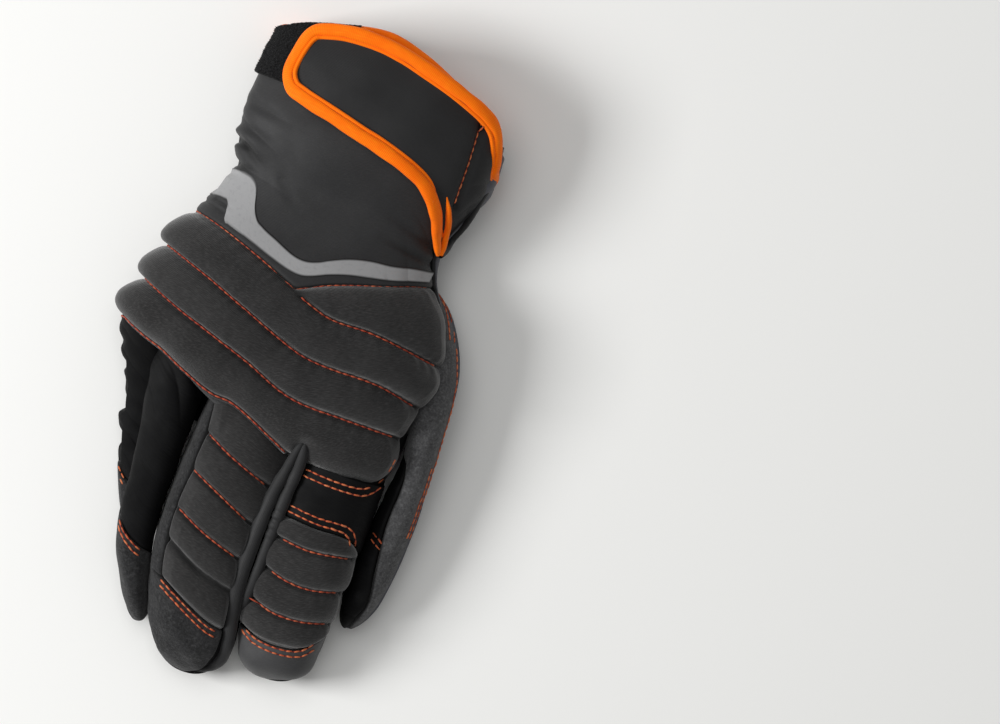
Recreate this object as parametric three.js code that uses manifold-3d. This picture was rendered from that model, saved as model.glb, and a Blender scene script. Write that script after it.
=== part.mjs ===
// A padded winter work glove for the right hand, lying palm down with its back up.
// Millimetres. +Z is up, +Y runs from the fingertips to the cuff, +X points to the thumb's side.
// The outer skin is a union of six tubes, one for the hand and one for each finger. The same tubes, one wall
// smaller, hollow it out, and upright cutters part the skin along its seams into the panels of the real glove.
import * as THREE from "three";
import { mergeVertices } from "three/addons/utils/BufferGeometryUtils.js";
import Module from "manifold-3d";

const wasm = await Module();
wasm.setup();

// Driving dimensions
const PLACE = { x: 6.7, y: 1.6 }; // brings the origin under the middle of the glove
const WALL = 3; // padded cloth
const SEAM_GAP = 0.3; // between neighbouring pieces
const RIB_RISE = { hand: 4.6, finger: 2.8 }; // height of a quilted rib over its stitch lines
const BINDING_WIDTH = 7; // orange edge tape
const PATCH_THICK = 1; // palm reinforcement
const SIDE_HEIGHT = 0.45; // share of a section's height at which it is widest
const ROUNDNESS = { top: 2.3, bottom: 2.6 }; // superellipse exponents, 2 is an ellipse
const FLATTENING = 1.25; // how much deeper the underside would bulge if nothing pressed it flat

// Outlines of each tube as it lies: a row for each section across it, all in millimetres
const HAND_SECTIONS = [
  { y: 146, left: -56, right: 48.5, top: 40, base: 3 },
  { y: 125, left: -58, right: 49, top: 43, base: 3 },
  { y: 105, left: -60.5, right: 51, top: 46, base: 3 },
  { y: 90, left: -61, right: 50, top: 47, base: 3 },
  { y: 76, left: -58.5, right: 44, top: 45, base: 2.5 },
  { y: 67, left: -55.5, right: 40, top: 42.5, base: 2 },
  { y: 58, left: -57.5, right: 39.5, top: 42, base: 1.6 },
  { y: 48, left: -62, right: 42, top: 43.5, base: 1.3 },
  { y: 36, left: -67.5, right: 49, top: 47, base: 1.3 },
  { y: 24, left: -71.5, right: 54, top: 50, base: 1.3 },
  { y: 8, left: -75.5, right: 57.5, top: 52, base: 1.3 },
  { y: -8, left: -79, right: 56.5, top: 51, base: 1.3 },
  { y: -16, left: -75, right: 54.5, top: 50, base: 1.3 },
  { y: -25, left: -64, right: 53.8, top: 48.5, base: 1.5 },
  { y: -36, left: -59, right: 52, top: 46.5, base: 2 },
  { y: -48, left: -50, right: 48.5, top: 42, base: 6 },
];
const INDEX_SECTIONS = [
  { y: -15, left: 16, right: 49, top: 44, base: 6 },
  { y: -45, left: 11.5, right: 50.7, top: 43.5, base: 3 },
  { y: -60, left: 10.9, right: 50.6, top: 42, base: 4 },
  { y: -75, left: 10.9, right: 50.5, top: 41, base: 5 },
  { y: -95, left: 11.2, right: 50, top: 37.5, base: 5 },
  { y: -110, left: 12.3, right: 49.5, top: 33.5, base: 3 },
  { y: -122, left: 14.2, right: 48.7, top: 29.5, base: 0.3 },
  { y: -138, left: 16.5, right: 46, top: 25, base: 0.1 },
];
const MIDDLE_SECTIONS = [
  { y: -10, left: -30, right: 8, top: 46, base: 6 },
  { y: -40, left: -33, right: 9.6, top: 45, base: 3 },
  { y: -60, left: -34.2, right: 9.7, top: 43.5, base: 4 },
  { y: -80, left: -34.3, right: 9.8, top: 41, base: 5 },
  { y: -100, left: -33, right: 9.9, top: 37, base: 5 },
  { y: -115, left: -30, right: 11.4, top: 33, base: 2 },
  { y: -130, left: -25, right: 13.6, top: 28, base: 0.3 },
  { y: -147, left: -19, right: 12.6, top: 24, base: 0.1 },
];
const RING_SECTIONS = [
  { y: -5, left: -60, right: -35, top: 41, base: 12 },
  { y: -22, left: -60, right: -35.8, top: 40, base: 17 },
  { y: -40, left: -59, right: -36, top: 39, base: 19.5 },
  { y: -60, left: -57, right: -36, top: 36.5, base: 18.5 },
  { y: -80, left: -54.5, right: -36, top: 33.5, base: 17 },
  { y: -93, left: -52.3, right: -35.2, top: 31, base: 15 },
  { y: -104, left: -48.8, right: -33.6, top: 28.5, base: 10 },
  { y: -114, left: -44.5, right: -31.2, top: 26, base: 2 },
  { y: -124, left: -39, right: -27.8, top: 22.5, base: 0.1 },
  { y: -133.5, left: -35, right: -25, top: 19, base: 0.1 },
];
const PINKY_SECTIONS = [
  { y: 5, left: -76, right: -52, top: 28, base: 3 },
  { y: -12, left: -80, right: -54, top: 33, base: 2 },
  { y: -25, left: -76, right: -52, top: 27, base: 1.5 },
  { y: -40, left: -70.5, right: -48.5, top: 19, base: 1 },
  { y: -55, left: -67, right: -45.5, top: 16.5, base: 0.5 },
  { y: -70, left: -62.5, right: -42, top: 15.5, base: 0.3 },
  { y: -82, left: -57.5, right: -39, top: 14.5, base: 0.1 },
  { y: -96, left: -52, right: -37, top: 13, base: 0.1 },
];
const THUMB_SECTIONS = [
  { y: 46, left: 34, right: 42, top: 20, base: 4 },
  { y: 40, left: 36, right: 50, top: 24, base: 1.3 },
  { y: 28, left: 40, right: 59.5, top: 29, base: 1.3 },
  { y: 14, left: 43, right: 65.5, top: 31, base: 1.3 },
  { y: 0, left: 47, right: 67.3, top: 31, base: 1.3 },
  { y: -14, left: 51.5, right: 68, top: 30.5, base: 1.3 },
  { y: -28, left: 55, right: 69, top: 30, base: 1 },
  { y: -45, left: 53.6, right: 70, top: 28.5, base: 0.6 },
  { y: -60, left: 52.2, right: 70, top: 27.5, base: 0.4 },
  { y: -80, left: 51.4, right: 68.8, top: 25, base: 0.2 },
  { y: -92, left: 51.4, right: 67, top: 22.5, base: 0.1 },
  { y: -106, left: 51.4, right: 63, top: 19, base: 0.1 },
];

// Stitch lines of the quilting, seen from above: points [x, y] from the little finger's side to the thumb's
const HAND_LINES = {
  chevron: [[-80, 46], [-67, 42], [-50, 37.5], [-30, 31], [-16, 25.5], [-13, 24.5], [-9, 26.2], [0, 30.5], [25, 39], [42, 44.5], [70, 50]],
  shoulder: [[-80, 45], [-67, 41], [-50, 36.5], [-30, 30], [-14, 23.8], [-5, 20.4], [5, 17.5], [25, 17.5], [56, 13.5], [72, 11]],
  second: [[-82, 26], [-74, 24], [-50, 16.5], [-30, 9], [-10, 1.5], [0, -1.5], [10, -2.5], [35, -2.5], [54, -6], [72, -8]],
  third: [[-88, 11], [-78, 7.5], [-60, 0.5], [-40, -6], [-20, -12.5], [-5, -18.5], [4, -20.6], [25, -21], [50, -21], [72, -21]],
  knuckles: [[-92, -8], [-82, -10.5], [-65, -17], [-57, -19.5], [-45, -25], [-30, -30], [-22, -30.5], [0, -39.5], [9, -43], [20, -44], [44, -44], [72, -44]],
};
const MIDDLE_LINES = [
  [[-40, -26.5], [-22, -30.5], [0, -39.5], [15, -45]],
  [[-40, -42], [-27, -46.5], [-15, -52], [5, -59.5], [15, -63]],
  [[-40, -58], [-28, -63], [-10, -71], [3, -77], [15, -82]],
  [[-40, -76], [-29, -80.5], [-15, -87], [3, -93], [15, -97]],
  [[-40, -91], [-28, -95], [-10, -103.5], [4.5, -107.5], [15, -110]],
  [[-40, -104], [-25, -111.5], [-10, -119], [1, -124], [15, -127]],
];
const INDEX_LINES = [
  [[5, -68], [16, -68.5], [30, -69.5], [44, -69.5], [55, -71]],
  [[5, -77.5], [16, -78], [30, -79.2], [44, -77.5], [55, -75.5]],
  [[5, -91], [15, -92], [25, -94.5], [36, -95], [49, -92], [55, -90]],
  [[5, -104], [14, -106.5], [24, -109.5], [38, -109.3], [49, -106.5], [55, -105]],
  [[5, -116], [13, -119], [22, -122], [33, -122.5], [44, -120], [55, -116]],
];
// The cuff's opening, seen from above: its edge over the back, and underneath
const MOUTH_LINE = [[-70, 124], [-58, 128], [-50, 132], [-35, 137], [-12, 141.5], [5, 138], [20, 132], [40, 122], [52, 112]];
const MOUTH_UNDER = [[-70, 131], [24, 131], [34, 127], [42, 120], [52, 112]];

// Seams between the panels, seen from above
const BACK_PAD_EDGE = [[-100, 52], [-80, 46], [-67, 42], [-50, 37.5], [-30, 31], [-13, 24.5], [0, 30.5], [25, 39], [43, 44.5],
  [50, 33], [55, 20], [56.5, 8], [55, -4], [53, -14], [54.4, -22], [54.4, -30], [52.5, -38], [51, -43], [17, -44], [13, -35],
  [8, -43], [0, -39.5], [-22, -30.5], [-30, -30], [-45, -25], [-57, -19.5], [-65, -17], [-82, -10.5], [-100, -5]];
const CUFF_BACK_EDGE = [[-100, 52], [-100, 200], [26, 200], [26, 105], [31, 80], [38, 57], [43, 44.5], [25, 39], [0, 30.5], [-13, 24.5],
  [-30, 31], [-50, 37.5], [-67, 42]];
// Where neighbouring fingers meet
const MIDDLE_RING_LINE = [[-31, -29], [-34.4, -37], [-35.15, -60], [-35.15, -82], [-34.1, -99], [-32.3, -108], [-30.3, -115], [-27, -123],
  [-24.5, -130], [-22, -160]];
const THUMB_INDEX_X = 51.05;
const INDEX_KNUCKLE_EDGE = [[17, -44], [48, -43], [THUMB_INDEX_X, -43], [THUMB_INDEX_X, -71], [44, -69.5], [30, -69.5], [16, -68.5]];
const INDEX_BACK_EDGE = [[16, -68.5], [30, -69.5], [44, -69.5], [THUMB_INDEX_X, -71], [THUMB_INDEX_X, -109], [48, -110], [44, -119], [33, -122.5], [22, -122],
  [13.5, -118], [14, -100], [15.5, -80]];
const INDEX_TIP_EDGE = [[13.5, -118], [22, -122], [33, -122.5], [44, -119], [48, -110], [THUMB_INDEX_X, -109], [THUMB_INDEX_X, -160],
  [14.9, -160], [14.7, -135], [13.9, -125]];
const MIDDLE_BACK_EDGE = [[-30, -30], [-22, -30.5], [0, -39.5], [8, -43], [5, -60], [4, -80], [4.3, -100], [6, -112], [7.5, -124], [1, -124],
  [-10, -119], [-25, -111.5], [-28, -97], [-29, -80], [-28, -60], [-28, -40]];
const MIDDLE_TIP_EDGE = [[-25, -111.5], [-10, -119], [1, -124], [7.5, -124], [9, -133], [9, -141], [7, -160], [-22, -160], [-22, -128]];
const MIDDLE_SIDE_EDGE = [...MIDDLE_RING_LINE, [-22, -128], [-25, -111.5], [-28, -97], [-29, -80], [-28, -60], [-28, -40]];
const RING_BACK_EDGE = [[-61.5, -15], [-57, -19.5], [-45, -25], [-31, -30], [-34.4, -37], [-35.15, -60], [-35.15, -82], [-33.8, -103],
  [-40, -102], [-47, -96.5], [-54, -89], [-56.5, -80], [-59, -60], [-61.5, -45]];
const RING_TIP_EDGE = [[-57, -86], [-54, -89], [-47, -96.5], [-40, -102], [-33.8, -103], [-30.3, -115], [-27, -123], [-24.5, -130],
  [-22, -160], [-57, -160]];
const PINKY_BACK_EDGE = [[-100, -5], [-82, -10.5], [-65, -17], [-57, -19.5], [-52, -35], [-35.5, -82], [-53, -78], [-62, -71], [-100, -66]];
const PINKY_TIP_EDGE = [[-62, -71], [-53, -78], [-35.5, -82], [-35.5, -97], [-90, -97], [-90, -66]];
const THUMB_BACK_EDGE = [[43, 44.5], [50, 33], [55, 20], [56.5, 8], [55, -4], [51, -14], [51, -18], [57, -30], [58, -60], [60.5, -80], [62, -92],
  [58, -120], [69, -120], [67.5, -92], [68.2, -60], [68, -28], [66.5, 0], [62, 22], [54, 36], [45, 46]];
const THUMB_INNER_EDGE = [[54.4, -26], [57, -30], [58, -60], [60.5, -80], [62, -92], [58, -120], [THUMB_INDEX_X, -120],
  [THUMB_INDEX_X, -46], [53, -38]];
// Seams of the palm's side, also seen from above
const FINGER_FRONT_EDGE = [[-100, -10], [-76.7, -10.3], [-61, -12.1], [-52, -15.2], [-43.6, -16], [-23.8, -13], [-7.4, -14.7],
  [8.4, 4.8], [22.5, 4.8], [36, -3], [THUMB_INDEX_X, -16], [THUMB_INDEX_X, -200], [-100, -200]];
const THUMB_FRONT_EDGE = [[THUMB_INDEX_X, -16], [37, -11.6], [22.9, 30], [7.5, 55], [-3, 72], [-4.9, 130], [-4.9, 200], [100, 200],
  [100, -200], [THUMB_INDEX_X, -200]];
const THUMB_HEEL_EDGE = [[33.5, -1], [22.9, 4], [13.4, 11], [1.6, 22.9], [-5.5, 36], [-6.7, 48], [-3, 72], [7.5, 55], [22.9, 30]];

// The palm's reinforcement: a rounded patch with a slot that opens towards the fingers
const PALM_PATCH = [[0.4, 14], [-14.4, 8], [-18.5, 8.6], [-33.8, 15.2], [-45.7, 20], [-56.3, 29.5], [-61, 31.3], [-65.2, 27.7], [-64.6, 23.5],
  [-59.8, 17.6], [-49.2, 11.6], [-38.6, 5.1], [-32.1, 0.3], [-33.8, -1.5], [-45.7, -2.7], [-57.5, -2.3], [-68, 0.9], [-70, 5.1],
  [-69, 18.2], [-65, 42], [-61, 55], [-58, 59], [-52, 58], [-45.7, 56.3], [-24.4, 52.7], [-19.7, 48], [-14.9, 36.1], [-10.2, 24.1]];

// What lies on the cuff: for each place across it, the lower and upper edge
const STRAP_ROWS = [
  { x: -47.5, low: 110, high: 117, lift: 3.1, hem: 7 },
  { x: -46.3, low: 105, high: 123, lift: 3.1, hem: 7 },
  { x: -43, low: 101.5, high: 132.5, lift: 3.1, hem: 7 },
  { x: -38, low: 99.8, high: 135.3, lift: 3.1, hem: 7 },
  { x: -25, low: 96.4, high: 138, lift: 3.1, hem: 7.2 },
  { x: -10, low: 92.5, high: 137.6, lift: 2.9, hem: 7.2 },
  { x: 5, low: 88.5, high: 134.6, lift: 2.7, hem: 7.2 },
  { x: 18, low: 84, high: 131, lift: 2.5, hem: 8.5 },
  { x: 27, low: 76, high: 128, lift: 2.3, hem: 12 },
  { x: 33, low: 64, high: 125.5, lift: 2.1, hem: 17 },
  { x: 37, low: 59, high: 123.5, lift: 1.9, hem: 16 },
];
// Round the thumb's side it narrows, from its first row's sizes to its last's
const STRAP_WRAP = {
  rows: 4,
  endAngle: -0.35,
  low: [62, 80],
  high: [120, 102],
  hem: [14, 7.5],
  lift: 1.8,
};
const STRAP_THICK = 2.4;
const STRIPE_EDGE = [[-60, 64.5], [-50, 64.5], [-46, 63], [-43, 60], [-41, 52], [-38, 46], [-28, 42], [-17, 37.5], [-12, 37], [-7, 38], [0, 41.5],
  [10, 45], [25, 47.5], [38, 50], [39, 47.7], [20, 43], [10, 41], [0, 36.5], [-8, 32], [-12, 30.5], [-17, 30.5], [-25, 32.5],
  [-40, 37.5], [-51, 40.5], [-53, 49.5], [-62, 50]];
const STRIPE = { lift: 0.3, thick: 0.5 };
const LOOP_TAPE_EDGE = [[-62, 106.5], [-62, 119], [-58, 127], [-55, 130.5], [-46, 132.5], [-22, 134], [-22, 104]];
const LOOP_TAPE = { lift: 1.5, thick: 1 };
const OVERLAY_FLOOR = 20; // how far round the edge of the hand these reach
const STRIP_STEP = 10; // a row at least this often along whatever lies over the back
const ELASTIC = { left: -44, right: 30, near: 75, far: 93, pitch: 7.4, rise: 2, columns: 20, rows: 2 };
const WEBBING = { left: -22.5, right: -10.5, thick: 1.2, start: 99, bend: 138, tuck: 127, under: 0.3, over: 9.2 };

// A smooth curve through points [at, value], flat beyond its ends where asked
function curve(points) {
  const n = points.length;
  const slope = (i) => (points[i + 1][1] - points[i][1]) / (points[i + 1][0] - points[i][0]);
  const tangents = points.map((_, i) => (i === 0 ? slope(0) : i === n - 1 ? slope(n - 2) : (slope(i - 1) + slope(i)) / 2));
  return (at) => {
    let i = 0;
    while (i < n - 2 && (at - points[i + 1][0]) * Math.sign(points[n - 1][0] - points[0][0]) > 0) i++;
    const [a, va] = points[i];
    const [b, vb] = points[i + 1];
    const t = THREE.MathUtils.clamp((at - a) / (b - a), 0, 1);
    const h = b - a;
    const s = 1 - t;
    return va * s * s * (1 + 2 * t) + tangents[i] * h * t * s * s + vb * t * t * (3 - 2 * t) - tangents[i + 1] * h * t * t * s;
  };
}

const column = (rows, name, at = "y") => curve(rows.map((row) => [row[at], row[name]]));
const lerp = THREE.MathUtils.lerp;

// A tube: where its skin is at a section y and an angle round it, pushed out by some distance
class Tube {
  constructor(sections, cap) {
    this.left = column(sections, "left");
    this.right = column(sections, "right");
    this.top = column(sections, "top");
    this.base = column(sections, "base");
    this.start = sections[0].y;
    this.end = sections.at(-1).y;
    this.cap = cap; // length over which the far end rounds off
  }

  point(y, angle, push) {
    const end = this.end - push;
    const t = THREE.MathUtils.clamp((end + this.cap - y) / this.cap, 0, 1);
    const shrink = Math.pow(Math.max(0, 1 - Math.pow(t, 2.4)), 1 / 2.4);
    const middle = (this.left(y) + this.right(y)) / 2;
    const half = ((this.right(y) - this.left(y)) / 2 + push) * shrink;
    const base = this.base(y) - push;
    const top = this.top(y) + push;
    const side = lerp(base, top, SIDE_HEIGHT);
    const up = Math.sin(angle) >= 0;
    const power = 2 / (up ? ROUNDNESS.top : ROUNDNESS.bottom);
    const across = Math.sign(Math.cos(angle)) * Math.pow(Math.abs(Math.cos(angle)), power);
    const rise = Math.pow(Math.abs(Math.sin(angle)), power) * (up ? top - side : (base - side) * FLATTENING);
    return new THREE.Vector3(middle + half * across, y, Math.max(base, side + rise * shrink));
  }

  // The same, with y taken from a line across the bare tube, whose x is known only once y is
  pointOnLine(line, angle, push) {
    let y = line(0, angle);
    for (let i = 0; i < 8; i++) y = lerp(y, line(this.point(y, angle, 0).x, angle), 0.8);
    return this.point(y, angle, push);
  }
}

const hand = new Tube(HAND_SECTIONS, 7);
const index = new Tube(INDEX_SECTIONS, 15);
const middle = new Tube(MIDDLE_SECTIONS, 22);
const ring = new Tube(RING_SECTIONS, 14);
const pinky = new Tube(PINKY_SECTIONS, 14);
const thumb = new Tube(THUMB_SECTIONS, 16);

// A manifold solid from a closed three.js geometry
function solid(geometry) {
  const bare = geometry.index ? geometry.toNonIndexed() : geometry.clone();
  for (const name of Object.keys(bare.attributes)) if (name !== "position") bare.deleteAttribute(name);
  const merged = mergeVertices(bare, 1e-4);
  return new wasm.Manifold(new wasm.Mesh({
    numProp: 3,
    vertProperties: merged.attributes.position.array,
    triVerts: new Uint32Array(merged.index.array),
  }));
}

// A closed skin over rings of points, each ring the same length, with a fan over both ends
function skin(rings) {
  const points = rings.flat();
  const n = rings[0].length;
  const faces = [];
  for (let r = 0; r + 1 < rings.length; r++) {
    for (let c = 0; c < n; c++) {
      const a = r * n + c;
      const b = r * n + (c + 1) % n;
      faces.push([a, b, b + n], [a, b + n, a + n]);
    }
  }
  for (const [first, last] of [[0, false], [(rings.length - 1) * n, true]]) {
    const centre = points.length;
    points.push(points.slice(first, first + n).reduce((sum, p) => sum.clone().add(p), new THREE.Vector3()).divideScalar(n));
    for (let c = 0; c < n; c++) {
      const [a, b] = [first + c, first + (c + 1) % n];
      faces.push(last ? [a, b, centre] : [b, a, centre]);
    }
  }
  return shell(points, faces);
}

// A solid from points and faces, turned to face outwards
function shell(points, faces) {
  const geometry = new THREE.BufferGeometry().setFromPoints(points);
  geometry.setIndex(faces.flat());
  const made = solid(geometry);
  if (made.volume() > 0) return made;
  geometry.setIndex(faces.flatMap(([a, b, c]) => [a, c, b]));
  return solid(geometry);
}

// Angles round a tube, with fewer underneath, where it lies flat, than over the back
function angles(count, share = 0.67) {
  const upper = Math.round(count * share);
  return Array.from({ length: count }, (_, i) => (i < upper ? i / upper : 1 + (i - upper) / (count - upper)) * Math.PI);
}
const steps = (count) => Array.from({ length: count }, (_, i) => i / count);

// The rings of a tube between lines across it. A band between two lines may puff out as a quilted rib.
function tubeSolid(tube, bands, columns, push, stop) {
  const rings = [];
  const around = angles(columns, push < 0 ? 0.55 : undefined);
  const ringAt = (line, rise) => rings.push(around.map((angle) => {
    const flat = tube.pointOnLine(line, angle, push);
    const swell = rise ? rise(flat.x, angle) : 0;
    return swell > 0 ? tube.pointOnLine(line, angle, push + swell) : flat;
  }));
  for (const { from, to, count, puff } of bands) {
    for (const t of steps(count)) {
      const round = Math.pow(1 - Math.pow(2 * t - 1, 2), 0.6);
      ringAt((x, angle) => lerp(from(x, angle), to(x, angle), t), puff && ((x, angle) => puff(x, angle) * round));
    }
  }
  const first = bands.at(-1).to(0, 0);
  const end = tube.end - push;
  for (const t of stop) ringAt(() => lerp(first, end, t));
  return skin(rings);
}

const constant = (y) => () => y;
const CAP_STEPS = [0, 0.55, 0.85, 0.975];
const HAND_COLUMNS = 25;
const WAIST = 78; // where the cuff's rings close up towards the wrist

// A plain tube with rings at even spacing
function plainTube(tube, push, columns, count, start = tube.start) {
  const from = constant(start);
  const to = constant(tube.end + tube.cap - push);
  return tubeSolid(tube, [{ from, to, count }], columns, push, CAP_STEPS);
}

// How much a finger's or the hand's ribs stand out: full across the back, none on the palm's side
const fade = (value, width) => Math.sqrt(THREE.MathUtils.clamp(value / width, 0, 1));

// The y at which the cuff's opening passes over or under x
function mouth(x, angle) {
  const share = THREE.MathUtils.smoothstep(Math.sin(angle), -0.6, 0.5);
  return lerp(curve(MOUTH_UNDER)(x), curve(MOUTH_LINE)(x), share);
}

function handSkin(push = 0) {
  const line = Object.fromEntries(Object.entries(HAND_LINES).map(([name, points]) => [name, curve(points)]));
  const rightEdge = curve(BACK_PAD_EDGE.filter(([x, y]) => x > 42 && y < 45).map(([x, y]) => [y, x]));
  const puff = (x, angle, y) => (Math.sin(angle) < -0.55 ? 0 : RIB_RISE.hand * fade(rightEdge(y) - 1 - x, 4) * fade(Math.sin(angle) + 0.55, 0.25));
  const ribs = (from, to) => (x, angle) => puff(x, angle, (line[from](x) + line[to](x)) / 2)
    * THREE.MathUtils.clamp((line[from](x) - line[to](x)) / 12, 0, 1);
  const bands = [
    { from: mouth, to: constant(WAIST), count: 3 },
    { from: constant(WAIST), to: line.chevron, count: 4 },
  ];
  const order = ["chevron", "shoulder", "second", "third", "knuckles"];
  for (let i = 0; i + 1 < order.length; i++) {
    bands.push({ from: line[order[i]], to: line[order[i + 1]], count: 3, puff: ribs(order[i], order[i + 1]) });
  }
  bands.push({ from: line.knuckles, to: constant(-46), count: 2 });
  return tubeSolid(hand, bands, HAND_COLUMNS, push, [0, 0.6]);
}

function fingerSkin(tube, lines, edges, columns) {
  const stitch = lines.map(curve);
  const puff = (x, angle) => (Math.sin(angle) <= 0 ? 0 : RIB_RISE.finger * fade(x - edges.left, 3) * fade(edges.right - x, 3));
  const bands = [{ from: constant(tube.start), to: stitch[0], count: 2 }];
  for (let i = 0; i + 1 < stitch.length; i++) bands.push({ from: stitch[i], to: stitch[i + 1], count: 2, puff });
  bands.push({ from: stitch.at(-1), to: constant(tube.end + tube.cap - 1), count: 1 });
  return tubeSolid(tube, bands, columns, 0, CAP_STEPS);
}

const outerTubes = [
  handSkin(),
  fingerSkin(index, INDEX_LINES, { left: 14.5, right: 50 }, 13),
  fingerSkin(middle, MIDDLE_LINES, { left: -29, right: 5 }, 13),
  plainTube(ring, 0, 11, 5),
  plainTube(pinky, 0, 11, 4),
  plainTube(thumb, 0, 11, 6),
];
const OPEN_PAST_MOUTH = 20; // the hollow runs out of the cuff
const innerTubes = [
  plainTube(hand, -WALL, 16, 7, hand.start + OPEN_PAST_MOUTH),
  ...[index, middle].map((tube) => plainTube(tube, -WALL, 10, 2)),
  ...[ring, pinky, thumb].map((tube) => plainTube(tube, -WALL, 9, 5)),
];
const joined = (parts) => parts.reduce((sum, part) => sum.add(part));
let rest = joined(outerTubes).subtract(joined(innerTubes));

// An outline moved outwards by some distance, for a cutter that leaves a seam's gap
function grown(outline, distance) {
  const turn = Math.sign(THREE.ShapeUtils.area(outline.map(([x, y]) => ({ x, y }))));
  return outline.map(([x, y], i) => {
    const [ax, ay] = outline[(i + outline.length - 1) % outline.length];
    const [bx, by] = outline[(i + 1) % outline.length];
    const before = new THREE.Vector2(y - ay, ax - x).normalize();
    const after = new THREE.Vector2(by - y, x - bx).normalize();
    const way = before.clone().add(after).normalize();
    const reach = (distance * turn) / Math.max(0.4, way.dot(after));
    return [x + way.x * reach, y + way.y * reach];
  });
}

const ROOF = 90; // above everything

// An upright prism over an outline, from a level floor, or one that slopes along y, to a roof
function prism(outline, floor, roof = ROOF) {
  const shape = new THREE.Shape(outline.map(([x, y]) => new THREE.Vector2(x, y)));
  const geometry = new THREE.ExtrudeGeometry(shape, { depth: 1, bevelEnabled: false });
  const position = geometry.attributes.position;
  for (let i = 0; i < position.count; i++) {
    const low = typeof floor === "function" ? floor(position.getY(i)) : floor;
    position.setZ(i, position.getZ(i) > 0.5 ? roof : low);
  }
  return solid(geometry);
}

const glove = new THREE.Group();
glove.position.set(PLACE.x, PLACE.y, 0);

// Cloths of the glove
const cloth = (color, roughness) => new THREE.MeshStandardMaterial({ color, roughness, metalness: 0 });
const SOFTSHELL = cloth(0x3a3b3d, 0.8);
const BLACK_STRETCH = cloth(0x19191b, 0.85);
const SUEDE = cloth(0x424345, 0.95);
const SLATE = cloth(0x3f4048, 0.7);
const ORANGE = cloth(0xff7a14, 0.75);
const REFLECTIVE = cloth(0x9b9b9d, 0.45);
const FUZZY = cloth(0x0d0d0e, 1);

// Adds a node: the largest body of what was made, without the crumbs that its cutters leave at a seam
function add(name, material, made) {
  const [largest] = made.decompose().sort((a, b) => b.volume() - a.volume());
  const mesh = largest.getMesh();
  const geometry = new THREE.BufferGeometry()
    .setAttribute("position", new THREE.BufferAttribute(new Float32Array(mesh.vertProperties), 3))
    .setIndex(new THREE.BufferAttribute(new Uint32Array(mesh.triVerts), 1));
  geometry.computeVertexNormals();
  const piece = new THREE.Mesh(geometry, material);
  piece.name = name;
  glove.add(piece);
}

// Cuts a panel out of what is left of the skin, down to a level or sloping floor
function panel(name, material, outline, floor = -10) {
  const under = typeof floor === "function" ? (y) => floor(y) - SEAM_GAP : floor - SEAM_GAP;
  add(name, material, rest.intersect(prism(outline, floor)));
  rest = rest.subtract(prism(grown(outline, SEAM_GAP), under));
}

// Rows with more between them, so that a strip follows the round of the hand
function densify(rows) {
  const last = rows.at(-1).x;
  const count = Math.ceil((last - rows[0].x) / STRIP_STEP);
  const bends = rows.map((row) => row.x);
  const even = steps(count).map((t) => lerp(rows[0].x, last, t)).filter((x) => bends.every((bend) => Math.abs(bend - x) > STRIP_STEP / 3));
  return [...bends, ...even].sort((a, b) => a - b).map((x) => ({ x, ...rowAt(rows, x) }));
}

// A strip lying over a tube: across it each row has a lower and an upper edge, and a lift over the skin
function strip(tube, rows, thick, { inset = 0, below = 0, above = 0, shares = [0, 0.33, 0.67, 1] } = {}) {
  const first = rows[0].x + inset;
  const cell = (row, share, push) => {
    const angle = row.angle ?? angleAt(tube, row.x, lerp(row.low, row.high, share));
    return tube.point(lerp(row.low + (inset / BINDING_WIDTH) * row.hem, row.high - inset, share), angle, push);
  };
  const kept = rows.filter((row) => row.angle !== undefined || row.x > first + 1);
  const across = inset ? [{ x: first, ...rowAt(rows, first) }, ...kept] : rows;
  const rings = across.map((row) => [
    ...shares.map((share) => cell(row, share, row.lift + thick + above)),
    ...shares.toReversed().map((share) => cell(row, share, row.lift - below)),
  ]);
  return skin(rings);
}

// The angle round a tube's back at which it passes over x
function angleAt(tube, x, y) {
  let [low, high] = [0, Math.PI];
  for (let i = 0; i < 30; i++) {
    const angle = (low + high) / 2;
    if (tube.point(y, angle, 0).x > x) low = angle;
    else high = angle;
  }
  return (low + high) / 2;
}

function rowAt(rows, x) {
  const flat = rows.filter((row) => row.x !== undefined);
  return Object.fromEntries(["low", "high", "lift", "hem"].map((name) => [name, column(flat, name, "x")(x)]));
}

// The cuff's edge is bound first, so that every panel ends at the tape
function bindMouth() {
  const edge = (drop) => (x, angle) => mouth(x, angle) - drop;
  const slab = (high, low) => skin([high, low].map((drop) => angles(20).map((angle) => hand.pointOnLine(edge(drop), angle, 4))));
  const cuff = (push) => plainTube(hand, push, 20, 6, hand.start + OPEN_PAST_MOUTH);
  add("mouth_binding", ORANGE, slab(0, BINDING_WIDTH).intersect(cuff(1)).subtract(cuff(-WALL - 1)));
  rest = rest.subtract(slab(-2 * OPEN_PAST_MOUTH, BINDING_WIDTH + SEAM_GAP));
}

// Something flat that lies on the hand's skin, within an outline seen from above
function overlay(outline, lift, thick) {
  return handSkin(lift + thick).subtract(handSkin(lift)).intersect(prism(outline, OVERLAY_FLOOR));
}

// The strap wraps from its rounded end over the back of the cuff and round the thumb's side
function strapRows() {
  const { rows, endAngle, low, high, hem, lift } = STRAP_WRAP;
  const last = STRAP_ROWS.at(-1);
  const start = angleAt(hand, last.x, (last.low + last.high) / 2);
  const wrap = steps(rows).map((t) => ({
    angle: lerp(start, endAngle, t + 1 / rows),
    low: lerp(...low, t),
    high: lerp(...high, t),
    hem: lerp(...hem, t),
    lift,
  }));
  return [...densify(STRAP_ROWS), ...wrap];
}

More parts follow.
